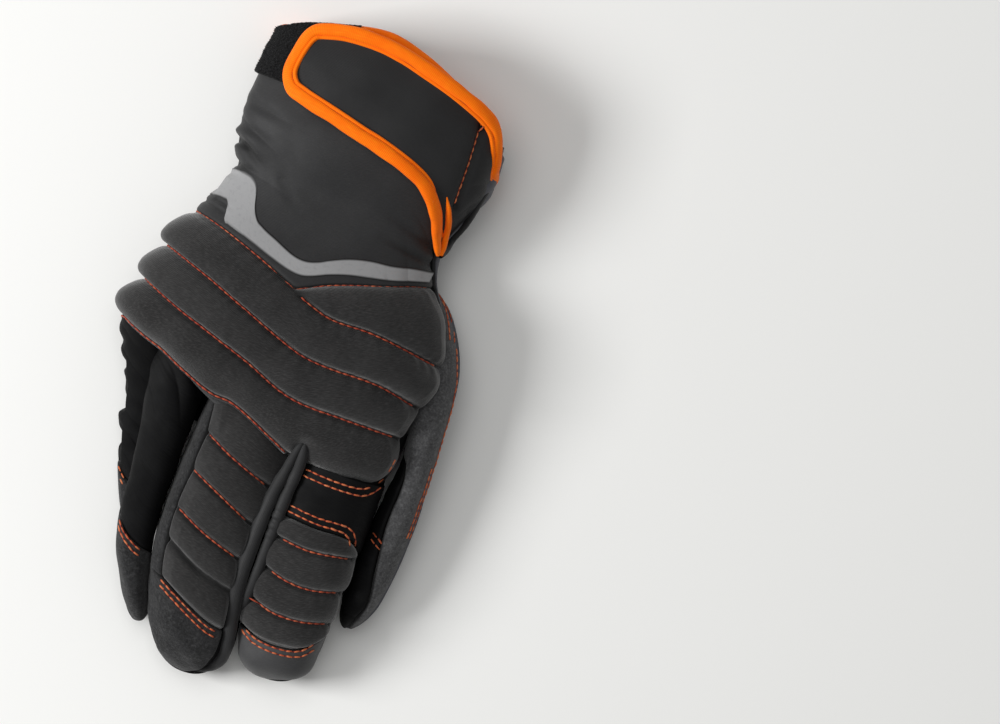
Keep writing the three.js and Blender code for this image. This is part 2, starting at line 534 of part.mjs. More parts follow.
function buildStrap() {
  const rows = strapRows();
  const whole = strip(hand, rows, STRAP_THICK + 0.5, { below: 0.1 });
  const field = strip(hand, rows, STRAP_THICK, { inset: BINDING_WIDTH + SEAM_GAP });
  const fieldHole = strip(hand, rows, STRAP_THICK, { inset: BINDING_WIDTH - SEAM_GAP, below: 2, above: 3, shares: [0, 0.5, 1] });
  add("wrist_strap", SOFTSHELL, field);
  add("strap_binding", ORANGE, whole.subtract(fieldHole));
}

// The gathered underside of the wrist, with a fold for each stitch of the zigzag
function gatheredBand() {
  const { left, right, near, far, pitch, rise, columns, rows } = ELASTIC;
  const rings = steps(columns + 1).map((share) => {
    const x = lerp(left, right, (share * (columns + 1)) / columns);
    const fold = (rise * (1 - Math.cos((2 * Math.PI * x) / pitch))) / 2;
    const across = steps(rows + 1).map((t) => lerp(near, far, (t * (rows + 1)) / rows));
    const at = (y, lift) => new THREE.Vector3(x, y, hand.base(y) + lift + fold * Math.sin((Math.PI * (y - near)) / (far - near)));
    return [...across.map((y) => at(y, 0)), ...across.toReversed().map((y) => at(y, WALL))];
  });
  return skin(rings);
}

// Webbing sewn under the cuff, folded round its edge into a pull loop
function pullLoop() {
  const { left, right, thick, start, bend, tuck, under, over } = WEBBING;
  const radius = (over + thick - under) / 2;
  const centre = under + radius;
  const shape = new THREE.Shape();
  shape.moveTo(start, under);
  shape.lineTo(bend, under);
  shape.absarc(bend, centre, radius, -Math.PI / 2, Math.PI / 2);
  shape.lineTo(tuck, over + thick);
  shape.lineTo(tuck, over);
  shape.lineTo(bend, over);
  shape.absarc(bend, centre, radius - thick, Math.PI / 2, -Math.PI / 2, true);
  shape.lineTo(start, under + thick);
  const geometry = new THREE.ExtrudeGeometry(shape, { depth: right - left, bevelEnabled: false, curveSegments: 8 });
  geometry.applyMatrix4(new THREE.Matrix4().makeBasis(new THREE.Vector3(0, 1, 0), new THREE.Vector3(0, 0, 1), new THREE.Vector3(1, 0, 0)));
  geometry.translate(left, 0, 0);
  return solid(geometry);
}

bindMouth();
const { left: elasticLeft, right: elasticRight, near, far } = ELASTIC;
const elasticHole = [[elasticLeft, near], [elasticRight, near], [elasticRight, far], [elasticLeft, far]];
rest = rest.subtract(prism(grown(elasticHole, SEAM_GAP), -5, 14));
add("wrist_elastic", SUEDE, gatheredBand());

panel("back_pad", SOFTSHELL, BACK_PAD_EDGE, 12);
panel("cuff_back", SOFTSHELL, CUFF_BACK_EDGE, 12);
panel("index_knuckle", BLACK_STRETCH, INDEX_KNUCKLE_EDGE, 20);
panel("index_back", SOFTSHELL, INDEX_BACK_EDGE, 18);
panel("index_tip", SOFTSHELL, INDEX_TIP_EDGE);
panel("middle_back", SOFTSHELL, MIDDLE_BACK_EDGE, 20);
panel("middle_tip", SUEDE, MIDDLE_TIP_EDGE, 8);
panel("middle_side", SUEDE, MIDDLE_SIDE_EDGE, 9);
panel("ring_tip", SUEDE, RING_TIP_EDGE, (y) => 14 + (y + 88) * 0.5);
panel("ring_back", BLACK_STRETCH, RING_BACK_EDGE, (y) => 18 + (y + 50) * 0.11);
panel("pinky_tip", SUEDE, PINKY_TIP_EDGE, 6);
panel("pinky_back", BLACK_STRETCH, PINKY_BACK_EDGE, 8);
panel("thumb_back", SUEDE, THUMB_BACK_EDGE, 12);
panel("thumb_inner", BLACK_STRETCH, THUMB_INNER_EDGE, 8);
panel("finger_front", BLACK_STRETCH, FINGER_FRONT_EDGE);
panel("thumb_front", SLATE, THUMB_FRONT_EDGE);
panel("thumb_heel", SUEDE, THUMB_HEEL_EDGE);
add("palm_panel", SUEDE, rest);

add("palm_patch", BLACK_STRETCH, prism(PALM_PATCH, 0, PATCH_THICK));
add("reflective_stripe", REFLECTIVE, overlay(STRIPE_EDGE, STRIPE.lift, STRIPE.thick));
add("loop_tape", FUZZY, overlay(LOOP_TAPE_EDGE, LOOP_TAPE.lift, LOOP_TAPE.thick));
buildStrap();
add("pull_loop", FUZZY, pullLoop());

export default glove;
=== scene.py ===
# The look of the winter work glove: its cloths, quilting, seams, stitches, tapes and folds.
# Shapes are worked out in millimetres, x to the thumb's side and y towards the cuff, and stored in metres.
import math
import bpy
import numpy as np
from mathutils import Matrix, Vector
from mathutils.bvhtree import BVHTree
from mathutils.geometry import delaunay_2d_cdt


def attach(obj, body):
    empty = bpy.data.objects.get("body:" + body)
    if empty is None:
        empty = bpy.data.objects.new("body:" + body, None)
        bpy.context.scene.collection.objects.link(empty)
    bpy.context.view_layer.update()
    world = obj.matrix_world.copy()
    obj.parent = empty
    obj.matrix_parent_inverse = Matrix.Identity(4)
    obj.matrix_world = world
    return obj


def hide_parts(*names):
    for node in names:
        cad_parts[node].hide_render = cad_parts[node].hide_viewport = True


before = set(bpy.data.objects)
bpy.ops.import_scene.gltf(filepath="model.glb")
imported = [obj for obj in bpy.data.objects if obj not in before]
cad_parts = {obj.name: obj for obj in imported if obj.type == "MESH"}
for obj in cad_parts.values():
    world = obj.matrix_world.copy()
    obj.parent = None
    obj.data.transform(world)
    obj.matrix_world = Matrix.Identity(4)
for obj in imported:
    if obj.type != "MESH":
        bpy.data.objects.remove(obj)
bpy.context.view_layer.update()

# Driving dimensions
PLACE = np.array([6.7, 1.6, 0.0])  # brings the origin under the middle of the glove
SIDE_HEIGHT = 0.45  # share of a section's height at which it is widest
ROUND_TOP = 2.3  # superellipse exponents, 2 is an ellipse
ROUND_BOTTOM = 2.6
FLATTENING = 1.25  # how much deeper the underside would bulge if nothing pressed it flat
FLOOR_GAP = 0.05  # least height of the cloth over the floor
THREAD_FLOOR = 0.03  # least height of the thread
UNDER = -2.1  # how far the skin beneath the panels is pushed in
SEAM_DEPTH = 1.9
SEAM_WIDTH = 2.6
RIB = 4.4  # height of a quilted rib on the hand
FINGER_RIB = 2.6
STITCH = 2.75  # one stitch of the orange thread
STITCH_GAP = 0.55
WEFT_PITCH = 0.62  # of the softshell's face
GRAIN = math.radians(-20)  # the weave is cut askew
RIB_LEAN = 0.1  # share of a rib's height by which it leans towards the fingers
RIB_FLANGE = 0.9  # flat cloth beside a rib's row of stitches
SEWN_FROM = 44.0  # height over the floor of a row that is dropped onto the cloth
SIDE_ARC = 26.0  # length of cloth round the hand's side for each radian
WAVES = 7  # sines that make up a random field
PI = math.pi

# Sections of each tube: y, left, right, top, base
HAND = [
    (146, -56, 48.5, 40, 3), (125, -58, 49, 43, 3), (105, -60.5, 51, 46, 3), (90, -61, 50, 47, 3),
    (76, -58.5, 44, 45, 2.5), (67, -55.5, 40, 42.5, 2), (58, -57.5, 39.5, 42, 1.6), (48, -62, 42, 43.5, 1.3),
    (36, -67.5, 49, 47, 1.3), (24, -71.5, 54, 50, 1.3), (8, -75.5, 57.5, 52, 1.3), (-8, -79, 56.5, 51, 1.3),
    (-16, -75, 54.5, 50, 1.3), (-25, -64, 53.8, 48.5, 1.5), (-36, -59, 52, 46.5, 2), (-48, -50, 48.5, 42, 6),
]
INDEX = [
    (-15, 16, 49, 44, 6), (-45, 11.5, 50.7, 43.5, 3), (-60, 10.9, 50.6, 42, 4), (-75, 10.9, 50.5, 41, 5),
    (-95, 11.2, 50, 37.5, 5), (-110, 12.3, 49.5, 33.5, 3), (-122, 14.2, 48.7, 29.5, 0.3),
    (-138, 16.5, 46, 25, 0.1),
]
MIDDLE = [
    (-10, -30, 8, 46, 6), (-40, -33, 9.6, 45, 3), (-60, -34.2, 9.7, 43.5, 4), (-80, -34.3, 9.8, 41, 5),
    (-100, -33, 9.9, 37, 5), (-115, -30, 11.4, 33, 2), (-130, -25, 13.6, 28, 0.3), (-147, -19, 12.6, 24, 0.1),
]
RING = [
    (-5, -60, -35, 41, 12), (-22, -60, -35.8, 40, 17), (-40, -58, -36, 39, 19.5),
    (-60, -54.6, -36, 36.5, 18.5), (-80, -52.4, -36, 33.5, 17), (-93, -51.4, -35.2, 31, 15),
    (-104, -48.8, -33.6, 28.5, 10), (-114, -44.5, -31.2, 26, 2), (-124, -39, -27.8, 22.5, 0.1),
    (-133.5, -35, -25, 19, 0.1),
]
PINKY = [
    (5, -76, -52, 28, 3), (-12, -80, -54, 33, 2), (-25, -76, -52, 27, 1.5), (-40, -70.5, -48.5, 19, 1),
    (-55, -67, -45.5, 16.5, 0.5), (-70, -62.5, -42, 15.5, 0.3), (-82, -57.5, -39, 14.5, 0.1),
    (-96, -52, -37, 13, 0.1),
]
THUMB = [
    (46, 34, 42, 20, 4), (40, 36, 50, 24, 1.3), (28, 40, 59.5, 29, 1.3), (14, 43, 65.5, 31, 1.3),
    (0, 47, 67.3, 31, 1.3), (-14, 51.5, 68, 30.5, 1.3), (-28, 55, 69, 30, 1), (-45, 53.6, 70, 28.5, 0.6),
    (-60, 52.2, 70, 27.5, 0.4), (-80, 51.4, 68.8, 25, 0.2), (-92, 51.4, 67, 22.5, 0.1),
    (-106, 51.4, 63, 19, 0.1),
]

# Lines across the glove, seen from above: points x, y
CHEVRON = [
    (-80, 46), (-67, 42), (-50, 37.5), (-30, 31), (-16, 25.5), (-13, 24.5), (-9, 26.2), (0, 30.5),
    (25, 39), (42, 44.5), (70, 50),
]
SHOULDER = [
    (-80, 45), (-67, 41), (-50, 36.5), (-30, 30), (-14, 23.8), (-5, 20.4), (5, 17.5), (25, 17.5),
    (56, 13.5), (72, 11),
]
SECOND = [
    (-82, 26), (-74, 24), (-50, 16.5), (-30, 9), (-10, 1.5), (0, -1.5), (10, -2.5), (35, -2.5), (54, -6),
    (72, -8),
]
THIRD = [
    (-88, 11), (-78, 7.5), (-60, 0.5), (-40, -6), (-20, -12.5), (-5, -18.5), (4, -20.6), (25, -21),
    (50, -21), (72, -21),
]
KNUCKLES = [
    (-92, -8), (-82, -10.5), (-65, -17), (-57, -19.5), (-45, -25), (-30, -30), (-22, -30.5), (0, -39.5),
    (8, -43), (18, -44.5), (44, -44), (50, -42), (72, -36),
]
MIDDLE_LINES = [
    [(-40, -27.5), (-22, -30.5), (0, -39.5), (15, -45)],
    [(-40, -42), (-27, -46.5), (-15, -52), (5, -59.5), (15, -63)],
    [(-40, -58), (-28, -63), (-10, -71), (3, -77), (15, -82)],
    [(-40, -76), (-29, -80.5), (-15, -87), (3, -93), (15, -97)],
    [(-40, -91), (-28, -95), (-10, -103.5), (4.5, -107.5), (15, -110)],
    [(-40, -104), (-25, -111.5), (-10, -119), (1, -123.5), (7, -124.5), (15, -125)],
]
INDEX_LINES = [
    [(5, -44), (18, -44), (48, -43), (55, -41)],
    [(5, -67.5), (16, -68.4), (30, -69.2), (42, -68.8), (46.5, -69.4), (49, -71.2), (50.4, -74), (55, -76)],
    [(5, -77.5), (16, -78), (30, -79.2), (44, -77.5), (55, -75.5)],
    [(5, -91), (15, -92), (25, -94.5), (36, -95), (49, -92), (55, -90)],
    [(5, -104), (14, -106.5), (24, -109.5), (38, -109.3), (49, -106.5), (55, -105)],
    [(5, -116), (13, -119), (22, -122), (33, -122.5), (44, -119), (49, -112), (55, -104)],
]
RING_LINES = [
    [(-65, -16), (-57, -19.5), (-45, -25), (-30, -30)],
    [(-65, -82), (-56, -87), (-53, -90), (-48, -97), (-40, -102), (-32, -104), (-25, -105)],
]
PINKY_LINES = [
    [(-92, -8), (-82, -10.5), (-65, -17), (-50, -22)],
    [(-70, -67), (-61, -72), (-58, -76), (-53, -79), (-40, -82)],
]

# Outlines along the glove, seen from above: points y, x
PINKY_EDGE = [
    (5, -76), (-12, -80.5), (-18, -79.5), (-22, -76.5), (-25, -76.5), (-28, -74.5), (-31, -71),
    (-34, -72), (-38, -69.5), (-42, -68), (-48, -65), (-52, -67.8), (-57, -66), (-61, -62), (-66, -62.8),
    (-72, -61), (-79, -58.2), (-96, -52),
]
PAD_RIGHT = [
    (60, 38), (44.5, 43), (36, 48.5), (27, 52.5), (15, 56.3), (8, 57.2), (-2, 55.5), (-8, 54),
    (-14, 52.2), (-20, 51.6), (-25, 52), (-30, 51.8), (-36, 50.2), (-40, 48), (-43, 44.5), (-45, 41),
]

# Lines across the cuff, seen from above: points x, y
MOUTH = [
    (-70, 124), (-58, 128), (-50, 132), (-35, 137), (-12, 141.5), (5, 138), (20, 132), (40, 122),
    (52, 112),
]
MOUTH_UNDER = [(-70, 131), (24, 131), (34, 127), (42, 120), (52, 112)]
STRIPE_TOP = [
    (-64, 64.5), (-50, 64.5), (-46.5, 63.3), (-44, 61), (-42.6, 58), (-41, 52), (-38.5, 47.4), (-35, 45),
    (-28, 42), (-17, 37.8), (-12, 37.6), (-7, 39.2), (-3.4, 41.2), (4.6, 44.8), (12.9, 47), (22.4, 48.2),
    (32.6, 50.6), (42, 52),
]
STRIPE_LOW = [
    (-64, 50), (-55, 50.2), (-53.4, 49.6), (-52.6, 47.5), (-52.2, 43), (-51.6, 41), (-50, 40.4),
    (-40, 37.5), (-25, 32.5), (-17, 30.4), (-12, 30.2), (-8, 31.4), (-1.5, 34.4), (6.6, 37.2), (15, 39.1),
    (24.1, 41.2), (34, 44.4), (42, 47),
]


def curve(points):
    """A smooth curve through points (at, value), held beyond its ends."""
    table = np.array(sorted(points), float)
    at, value = table[:, 0], table[:, 1]
    slope = np.diff(value) / np.diff(at)
    tangent = np.concatenate([slope[:1], (slope[1:] + slope[:-1]) / 2, slope[-1:]])

    def through(x):
        x = np.asarray(x, float)
        i = np.clip(np.searchsorted(at, x) - 1, 0, len(at) - 2)
        h = at[i + 1] - at[i]
        t = np.clip((x - at[i]) / h, 0, 1)
        s = 1 - t
        return (value[i] * s * s * (1 + 2 * t) + tangent[i] * h * t * s * s
                + value[i + 1] * t * t * (3 - 2 * t) - tangent[i + 1] * h * t * t * s)

    return through


def lerp(a, b, t):
    return a + (b - a) * t


def smooth(x, low, high):
    t = np.clip((x - low) / (high - low), 0, 1)
    return t * t * (3 - 2 * t)


def bell(x, width):
    return np.exp(-((x / width) ** 2))


def level(value):
    """A line or edge that stays at one value."""
    return lambda x: np.full_like(np.asarray(x, float), value)


class Tube:
    """The body of the hand or of a finger, as sections along y."""

    def __init__(self, rows, cap):
        self.left, self.right, self.top, self.base = (
            curve([(r[0], r[i]) for r in rows]) for i in (1, 2, 3, 4)
        )
        self.end = rows[-1][0]
        self.cap = cap

    def point(self, y, angle, push=0.0):
        """The skin at y and an angle round it, pushed out by some distance."""
        y, angle, push = np.broadcast_arrays(np.asarray(y, float), angle, push)
        t = np.clip((self.end - push + self.cap - y) / self.cap, 0, 1)
        shrink = np.maximum(0, 1 - t**2.4) ** (1 / 2.4)
        left, right = self.left(y), self.right(y)
        base, top = self.base(y) - push, self.top(y) + push
        side = lerp(base, top, SIDE_HEIGHT)
        sine, cosine = np.sin(angle), np.cos(angle)
        power = np.where(sine >= 0, 2 / ROUND_TOP, 2 / ROUND_BOTTOM)
        across = np.sign(cosine) * np.abs(cosine) ** power
        x = (left + right) / 2 + ((right - left) / 2 + push) * shrink * across
        rise = np.abs(sine) ** power * np.where(sine >= 0, top - side, (base - side) * FLATTENING)
        z = np.maximum(np.maximum(base, side + rise * shrink), FLOOR_GAP)
        return np.stack([x, y, z], -1)

    def angle(self, x, y, under=False):
        """The angle at which the back, or the underside, passes over x."""
        left, right = self.left(y), self.right(y)
        share = np.clip((x - (left + right) / 2) / ((right - left) / 2), -1, 1)
        power = (ROUND_BOTTOM if under else ROUND_TOP) / 2
        found = np.arccos(np.sign(share) * np.abs(share) ** power)
        return -found if under else found

    def along(self, line, angle):
        """The y at which a line across the tube passes each angle."""
        angle = np.asarray(angle, float)
        y = line(np.zeros_like(angle))
        for _ in range(14):
            y = lerp(y, line(self.point(y, angle)[..., 0]), 0.8)
        return y


hand, index, middle = Tube(HAND, 7), Tube(INDEX, 15), Tube(MIDDLE, 22)
ring, pinky, thumb = Tube(RING, 14), Tube(PINKY, 14), Tube(THUMB, 16)
chevron, shoulder, second, third, knuckles = (curve(p) for p in (CHEVRON, SHOULDER, SECOND, THIRD, KNUCKLES))
pad_right = curve(PAD_RIGHT)
mouth_line, mouth_under = curve(MOUTH), curve(MOUTH_UNDER)


def edge(tube, line, under=False):
    """A patch's side that runs where x is line(y)."""
    return lambda y: tube.angle(line(y), y, under)


def waves(points, size, seed):
    """A smooth random field over points, from -1 to 1, with bumps of about a size in millimetres."""
    random = np.random.default_rng(seed)
    total = np.zeros(points.shape[:-1])
    for _ in range(WAVES):
        way = random.normal(size=3)
        way *= random.uniform(0.7, 1.5) * PI / (size * np.linalg.norm(way))
        total += np.sin(points @ way + random.uniform(0, 2 * PI))
    return total / math.sqrt(WAVES * 2)


def folds(points, way, size, seed):
    """Creases that run across a direction: rounded ridges with sharp valleys, at irregular spacing."""
    way = np.array(way, float)
    way = way / np.linalg.norm(way)
    phase = points @ way / size + 0.35 * waves(points, size * 2.2, seed)
    phase += 0.5 * waves(points, size * 5, seed + 1)
    return np.abs(np.sin(PI * phase)) ** 0.7 * (0.65 + 0.35 * waves(points, size * 3, seed + 2))


def lengths(points, axis):
    """Distance along each of a grid's rows, or columns, from its start."""
    step = np.linalg.norm(np.diff(points, axis=axis), axis=-1)
    total = np.cumsum(step, axis=axis)
    return np.concatenate([np.zeros_like(np.take(total, [0], axis=axis)), total], axis=axis)


def between(tube, upper, lower, left, right, rows, columns, dense_end=False):
    """A patch of cloth on a tube, between two lines across it and two sides."""
    v = np.linspace(0, 1, rows)[:, None]
    if dense_end:
        v = 1 - (1 - v) ** 1.8
    u = np.linspace(0, 1, columns)[None, :]
    y = np.broadcast_to(lerp(upper(0.0), lower(0.0), v), (rows, columns)).copy()
    for _ in range(16):
        angle = lerp(left(y), right(y), u)
        x = tube.point(y, angle)[..., 0]
        y = lerp(y, lerp(upper(x), lower(x), v), 0.8)
    return Grid(tube, y, lerp(left(y), right(y), u), v)


def over(tube, upper, lower, x_left, x_right, rows, columns):
    """A patch on a tube's back between two lines, however steep, that runs on round the left side."""
    v = np.linspace(0, 1, rows)[:, None]
    x = np.linspace(x_left, x_right, columns)[None, :]
    y = lerp(upper(x), lower(x), v)
    beyond = np.maximum(0, tube.left(y) + 0.6 - x)
    return Grid(tube, y, tube.angle(np.maximum(x, tube.left(y) + 0.6), y) + beyond / SIDE_ARC, v)


class Grid:
    """Rows and columns of points on a tube, with the relief that pushes them off it and the painted shade in
    its seams and folds.
    """

    def __init__(self, tube, y, angle, v):
        self.tube, self.y, self.angle = tube, y, angle
        rows, columns = y.shape
        self.v = np.broadcast_to(v, y.shape)
        self.base = tube.point(self.y, self.angle)
        self.x = self.base[..., 0]
        across, down = lengths(self.base, 1), lengths(self.base, 0)
        self.d_left, self.d_right = across, across[:, -1:] - across
        self.d_top, self.d_low = down, down[-1:, :] - down
        self.uv = np.stack([across - across[:, columns // 2, None], down - down[None, rows // 2, :]], -1)
        self.push = np.zeros_like(self.x)
        self.lean = np.zeros_like(self.x)
        # painted shade, 0 to 1: how far the colour is darkened in seams, folds and beside stitches
        self.crease = np.zeros_like(self.x)

    def seams(self, sides, depth=SEAM_DEPTH, width=SEAM_WIDTH):
        """Rolls the cloth down into a seam along some of its sides, and paints shade along the seam's edge.
        """
        for side in sides.split():
            distance = getattr(self, "d_" + side)
            far = np.clip(distance / width, 0, 1)
            self.push -= depth * (1 - np.sqrt(np.maximum(0, 1 - (1 - far) ** 2)))
            # painted shade at the seam's edge
            self.crease = np.maximum(self.crease, 1 - smooth(distance, 0.3, 1.5))
        return self

    def points(self):
        near_end = np.clip((self.tube.end + self.tube.cap - self.y) / self.tube.cap, 0, 1) ** 2
        y = self.y - self.push * near_end - self.lean
        return self.tube.point(y, self.angle, self.push)


def distance_along(path):
    """How far along a path each of its points lies."""
    return np.concatenate([[0], np.cumsum(np.linalg.norm(np.diff(path, axis=0), axis=1))])


def nearest(points, path):
    """For each point, the distance to a path and how far along it the nearest place is."""
    flat = points.reshape(-1, 3).astype(np.float32)
    path = np.asarray(path, np.float32)
    run = distance_along(path)
    far, where = np.empty(len(flat)), np.empty(len(flat))
    for i in range(0, len(flat), 4000):
        gap = ((flat[i:i + 4000, None, :] - path[None]) ** 2).sum(-1)
        best = gap.argmin(1)
        far[i:i + 4000] = np.sqrt(gap[np.arange(len(best)), best])
        where[i:i + 4000] = run[best]
    return far.reshape(points.shape[:-1]), where.reshape(points.shape[:-1])


def pucker(grid, paths, seed, depth=0.45, reach=4.5):
    """Cloth gathered a little by a row of stitches: small pleats that start at the thread and die away, with
    painted shade along both sides of the thread.
    """
    for k, path in enumerate(paths):
        far, run = nearest(grid.base, path)
        jitter = np.stack([run, np.full_like(run, 13.0 * k), np.zeros_like(run)], -1)
        pleat = 0.5 + 0.5 * np.sin(2 * PI * run / 6.3 + 2.2 * waves(jitter, 16, seed + k))
        fine = 0.5 + 0.5 * np.cos(2 * PI * run / (STITCH + STITCH_GAP))
        grid.push -= depth * pleat * bell(far, reach) * smooth(far, 0.0, 1.2)
        grid.push -= 0.16 * fine * bell(far, 1.3) + 0.7 * bell(far, 0.8)
        # painted shade beside the row of stitches
        grid.crease = np.maximum(grid.crease, np.exp(-((far / 1.9) ** 4)))
    return grid


# Making meshes
cloth_for_snapping = []


def as_part(grid):
    return grid.points(), grid.uv, False, grid.crease


def dress(name, parts, material, node=None, snap=True):
    """One piece from patches, or from grids of points with their UV, in place of a node's solid."""
    points, faces, uvs, painted_shade_and_thread_red = [], [], [], []
    offset = 0
    for part in parts:
        grid, uv, wrap, *crease = as_part(part) if isinstance(part, Grid) else part
        rows, columns = grid.shape[:2]
        painted_shade_and_thread_red.append(crease[0].ravel() if crease else np.zeros(rows * columns))
        number = offset + np.arange(rows * columns).reshape(rows, columns)
        if wrap:
            number = np.concatenate([number, number[:, :1]], 1)
            uv = np.concatenate([uv, 2 * uv[:, -1:] - uv[:, -2:-1]], 1)
        a, b, c, d = number[:-1, :-1], number[:-1, 1:], number[1:, 1:], number[1:, :-1]
        faces.append(np.stack([a, d, c, b], -1).reshape(-1, 4))
        corner = [uv[:-1, :-1], uv[1:, :-1], uv[1:, 1:], uv[:-1, 1:]]
        uvs.append(np.stack(corner, 2).reshape(-1, 2))
        points.append(grid.reshape(-1, 3))
        offset += rows * columns
    points, uvs, painted_shade_and_thread_red = (np.concatenate(values) for values in (points, uvs, painted_shade_and_thread_red))
    return place(name, points, np.concatenate(faces).tolist(), uvs, painted_shade_and_thread_red, material, node, snap)


def place(name, points, faces, uvs, painted_shade_and_thread_red, material, node=None, snap=True):
    """Puts a piece into the scene, with a UV for each face's corner. Rows of stitches snap to it, or not."""
    made = bpy.data.meshes.new(name)
    made.from_pydata(((points + PLACE) / 1000).tolist(), [], faces)
    made.uv_layers.new(name="cloth").data.foreach_set("uv", uvs.astype(np.float32).ravel())
    # The crease attribute holds painted shade for cloth, and how red the thread is for stitches.
    made.attributes.new("crease", "FLOAT", "POINT").data.foreach_set("value", painted_shade_and_thread_red.astype(np.float32))
    made.polygons.foreach_set("use_smooth", np.ones(len(made.polygons), bool))
    made.validate()
    made.update()
    piece = bpy.data.objects.new(name, made)
    bpy.context.scene.collection.objects.link(piece)
    made.materials.append(material)
    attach(piece, "root")
    if node:
        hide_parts(node)
    if snap:
        cloth_for_snapping.append(piece)
    return piece


def panel(name, material, node, grid, swell, bumps=(), pleats=(), seams=()):
    """A patch swollen off its tube, as one piece.

    Bumps are height, size, seed; pleats are height, way, size, seed; seams are sides, depth, width.
    """
    grid.push += swell
    for height, size, seed in bumps:
        grid.push += height * waves(grid.base, size, seed)
    for height, way, size, seed in pleats:
        grid.push += height * folds(grid.base, way, size, seed)
    for sides, depth, width in seams:
        grid.seams(sides, depth, width)
    return dress(name, [grid], material, node)


def sweep(centre, normal, half_width, half_height, sides=14, square=2.4):
    """A padded tape along a path: its section is a flattened round across the path."""
    tangent = np.gradient(centre, axis=0)
    tangent /= np.linalg.norm(tangent, axis=1, keepdims=True)
    normal = normal - (normal * tangent).sum(1, keepdims=True) * tangent
    normal /= np.linalg.norm(normal, axis=1, keepdims=True)
    across = np.cross(tangent, normal)
    turn = np.linspace(0, 2 * PI, sides, endpoint=False)
    c, s = np.cos(turn), np.sin(turn)
    c, s = np.sign(c) * np.abs(c) ** (2 / square), np.sign(s) * np.abs(s) ** (2 / square)
    half_width, half_height = (
        np.broadcast_to(w, len(centre))[:, None, None] for w in (half_width, half_height)
    )
    sideways = across[:, None] * c[None, :, None] * half_width
    grid = centre[:, None] + sideways + normal[:, None] * s[None, :, None] * half_height
    uv = np.stack(np.broadcast_arrays(distance_along(grid[:, 0])[:, None], (turn * 3.2)[None]), -1)
    return grid, uv, True


def aside(centre, normal, distance):
    """A path moved sideways, along the surface that it lies on."""
    tangent = np.gradient(centre, axis=0)
    across = np.cross(tangent, normal)
    return centre + distance * across / np.linalg.norm(across, axis=1, keepdims=True)


def spline(points, step=1.0):
    """Evenly spaced points on a smooth path through the given ones."""
    points = np.array(points, float)
    padded = np.concatenate([2 * points[:1] - points[1:2], points, 2 * points[-1:] - points[-2:-1]])
    dense = []
    for i in range(len(points) - 1):
        p = padded[i:i + 4]
        t = np.linspace(0, 1, 24, endpoint=False)[:, None]
        dense.append(0.5 * (2 * p[1] + (p[2] - p[0]) * t + (2 * p[0] - 5 * p[1] + 4 * p[2] - p[3]) * t**2
                            + (3 * p[1] - p[0] - 3 * p[2] + p[3]) * t**3))
    dense = np.concatenate([*dense, points[-1:]])
    return evenly(dense, step)


def evenly(path, step):
    """A path's points spaced anew, a step apart."""
    run = distance_along(path)
    at = np.linspace(0, run[-1], max(2, int(round(run[-1] / step)) + 1))
    return np.stack([np.interp(at, run, path[:, i]) for i in range(path.shape[1])], 1)


# Paths along the cloth, and the rows of stitches that follow them
RAY_START = 10.0  # a stitch's ends are looked for from this far off the row, over this length
RAY_LENGTH = 54.0
MISSED = 1e6  # stands for a point that isn't there
seams_to_sew = []


def outward(tube, y, angle):
    """The way out of a tube's skin, and straight down where the floor flattens it."""
    way = tube.point(y, angle, 2.0) - tube.point(y, angle, 0.0)
    way[..., 2] += np.where(np.linalg.norm(way, axis=-1) < 0.2, -1.0, 0.0)
    return way / np.maximum(1e-6, np.linalg.norm(way, axis=-1, keepdims=True))


def line_on(tube, line, start, stop):
    """A path along a line across a tube, between two angles."""
    angle = np.linspace(start, stop, 400)
    y = tube.along(line, angle)
    return tube.point(y, angle), outward(tube, y, angle)


def line_over(tube, line, x_from, x_to):
    """A path along a line across a tube's back."""
    x = np.linspace(x_from, x_to, 300)
    y = line(x)
    angle = tube.angle(x, y)
    return tube.point(y, angle), outward(tube, y, angle)


def path_over(tube, points, under=False):
    """A smooth path over a tube's back or underside."""
    flat = spline(points, 0.5)
    angle = tube.angle(flat[:, 0], flat[:, 1], under)
    return tube.point(flat[:, 1], angle), outward(tube, flat[:, 1], angle)


def sew(path, quilting=0.0):
    """Keeps a row of stitches for make_stitches, with how red its thread is, and returns its line."""
    seams_to_sew.append((*path, quilting))
    return path[0]


def sew_from_above(points):
    """A row of stitches that is dropped straight down onto whatever cloth it meets."""
    flat = spline(points, 0.5)
    sew((np.column_stack([flat, np.full(len(flat), SEWN_FROM)]), np.tile([0.0, 0.0, 1.0], (len(flat), 1))))


# Materials
WAVE_REPEAT = 0.314  # how far apart a wave texture's bands lie at scale 1


def linear(*rgb):
    """A colour of the screen, 0 to 255, as the linear numbers that a shader takes."""
    return [*((c / 255 / 12.92 if c <= 10 else ((c / 255 + 0.055) / 1.055) ** 2.4) for c in rgb), 1]


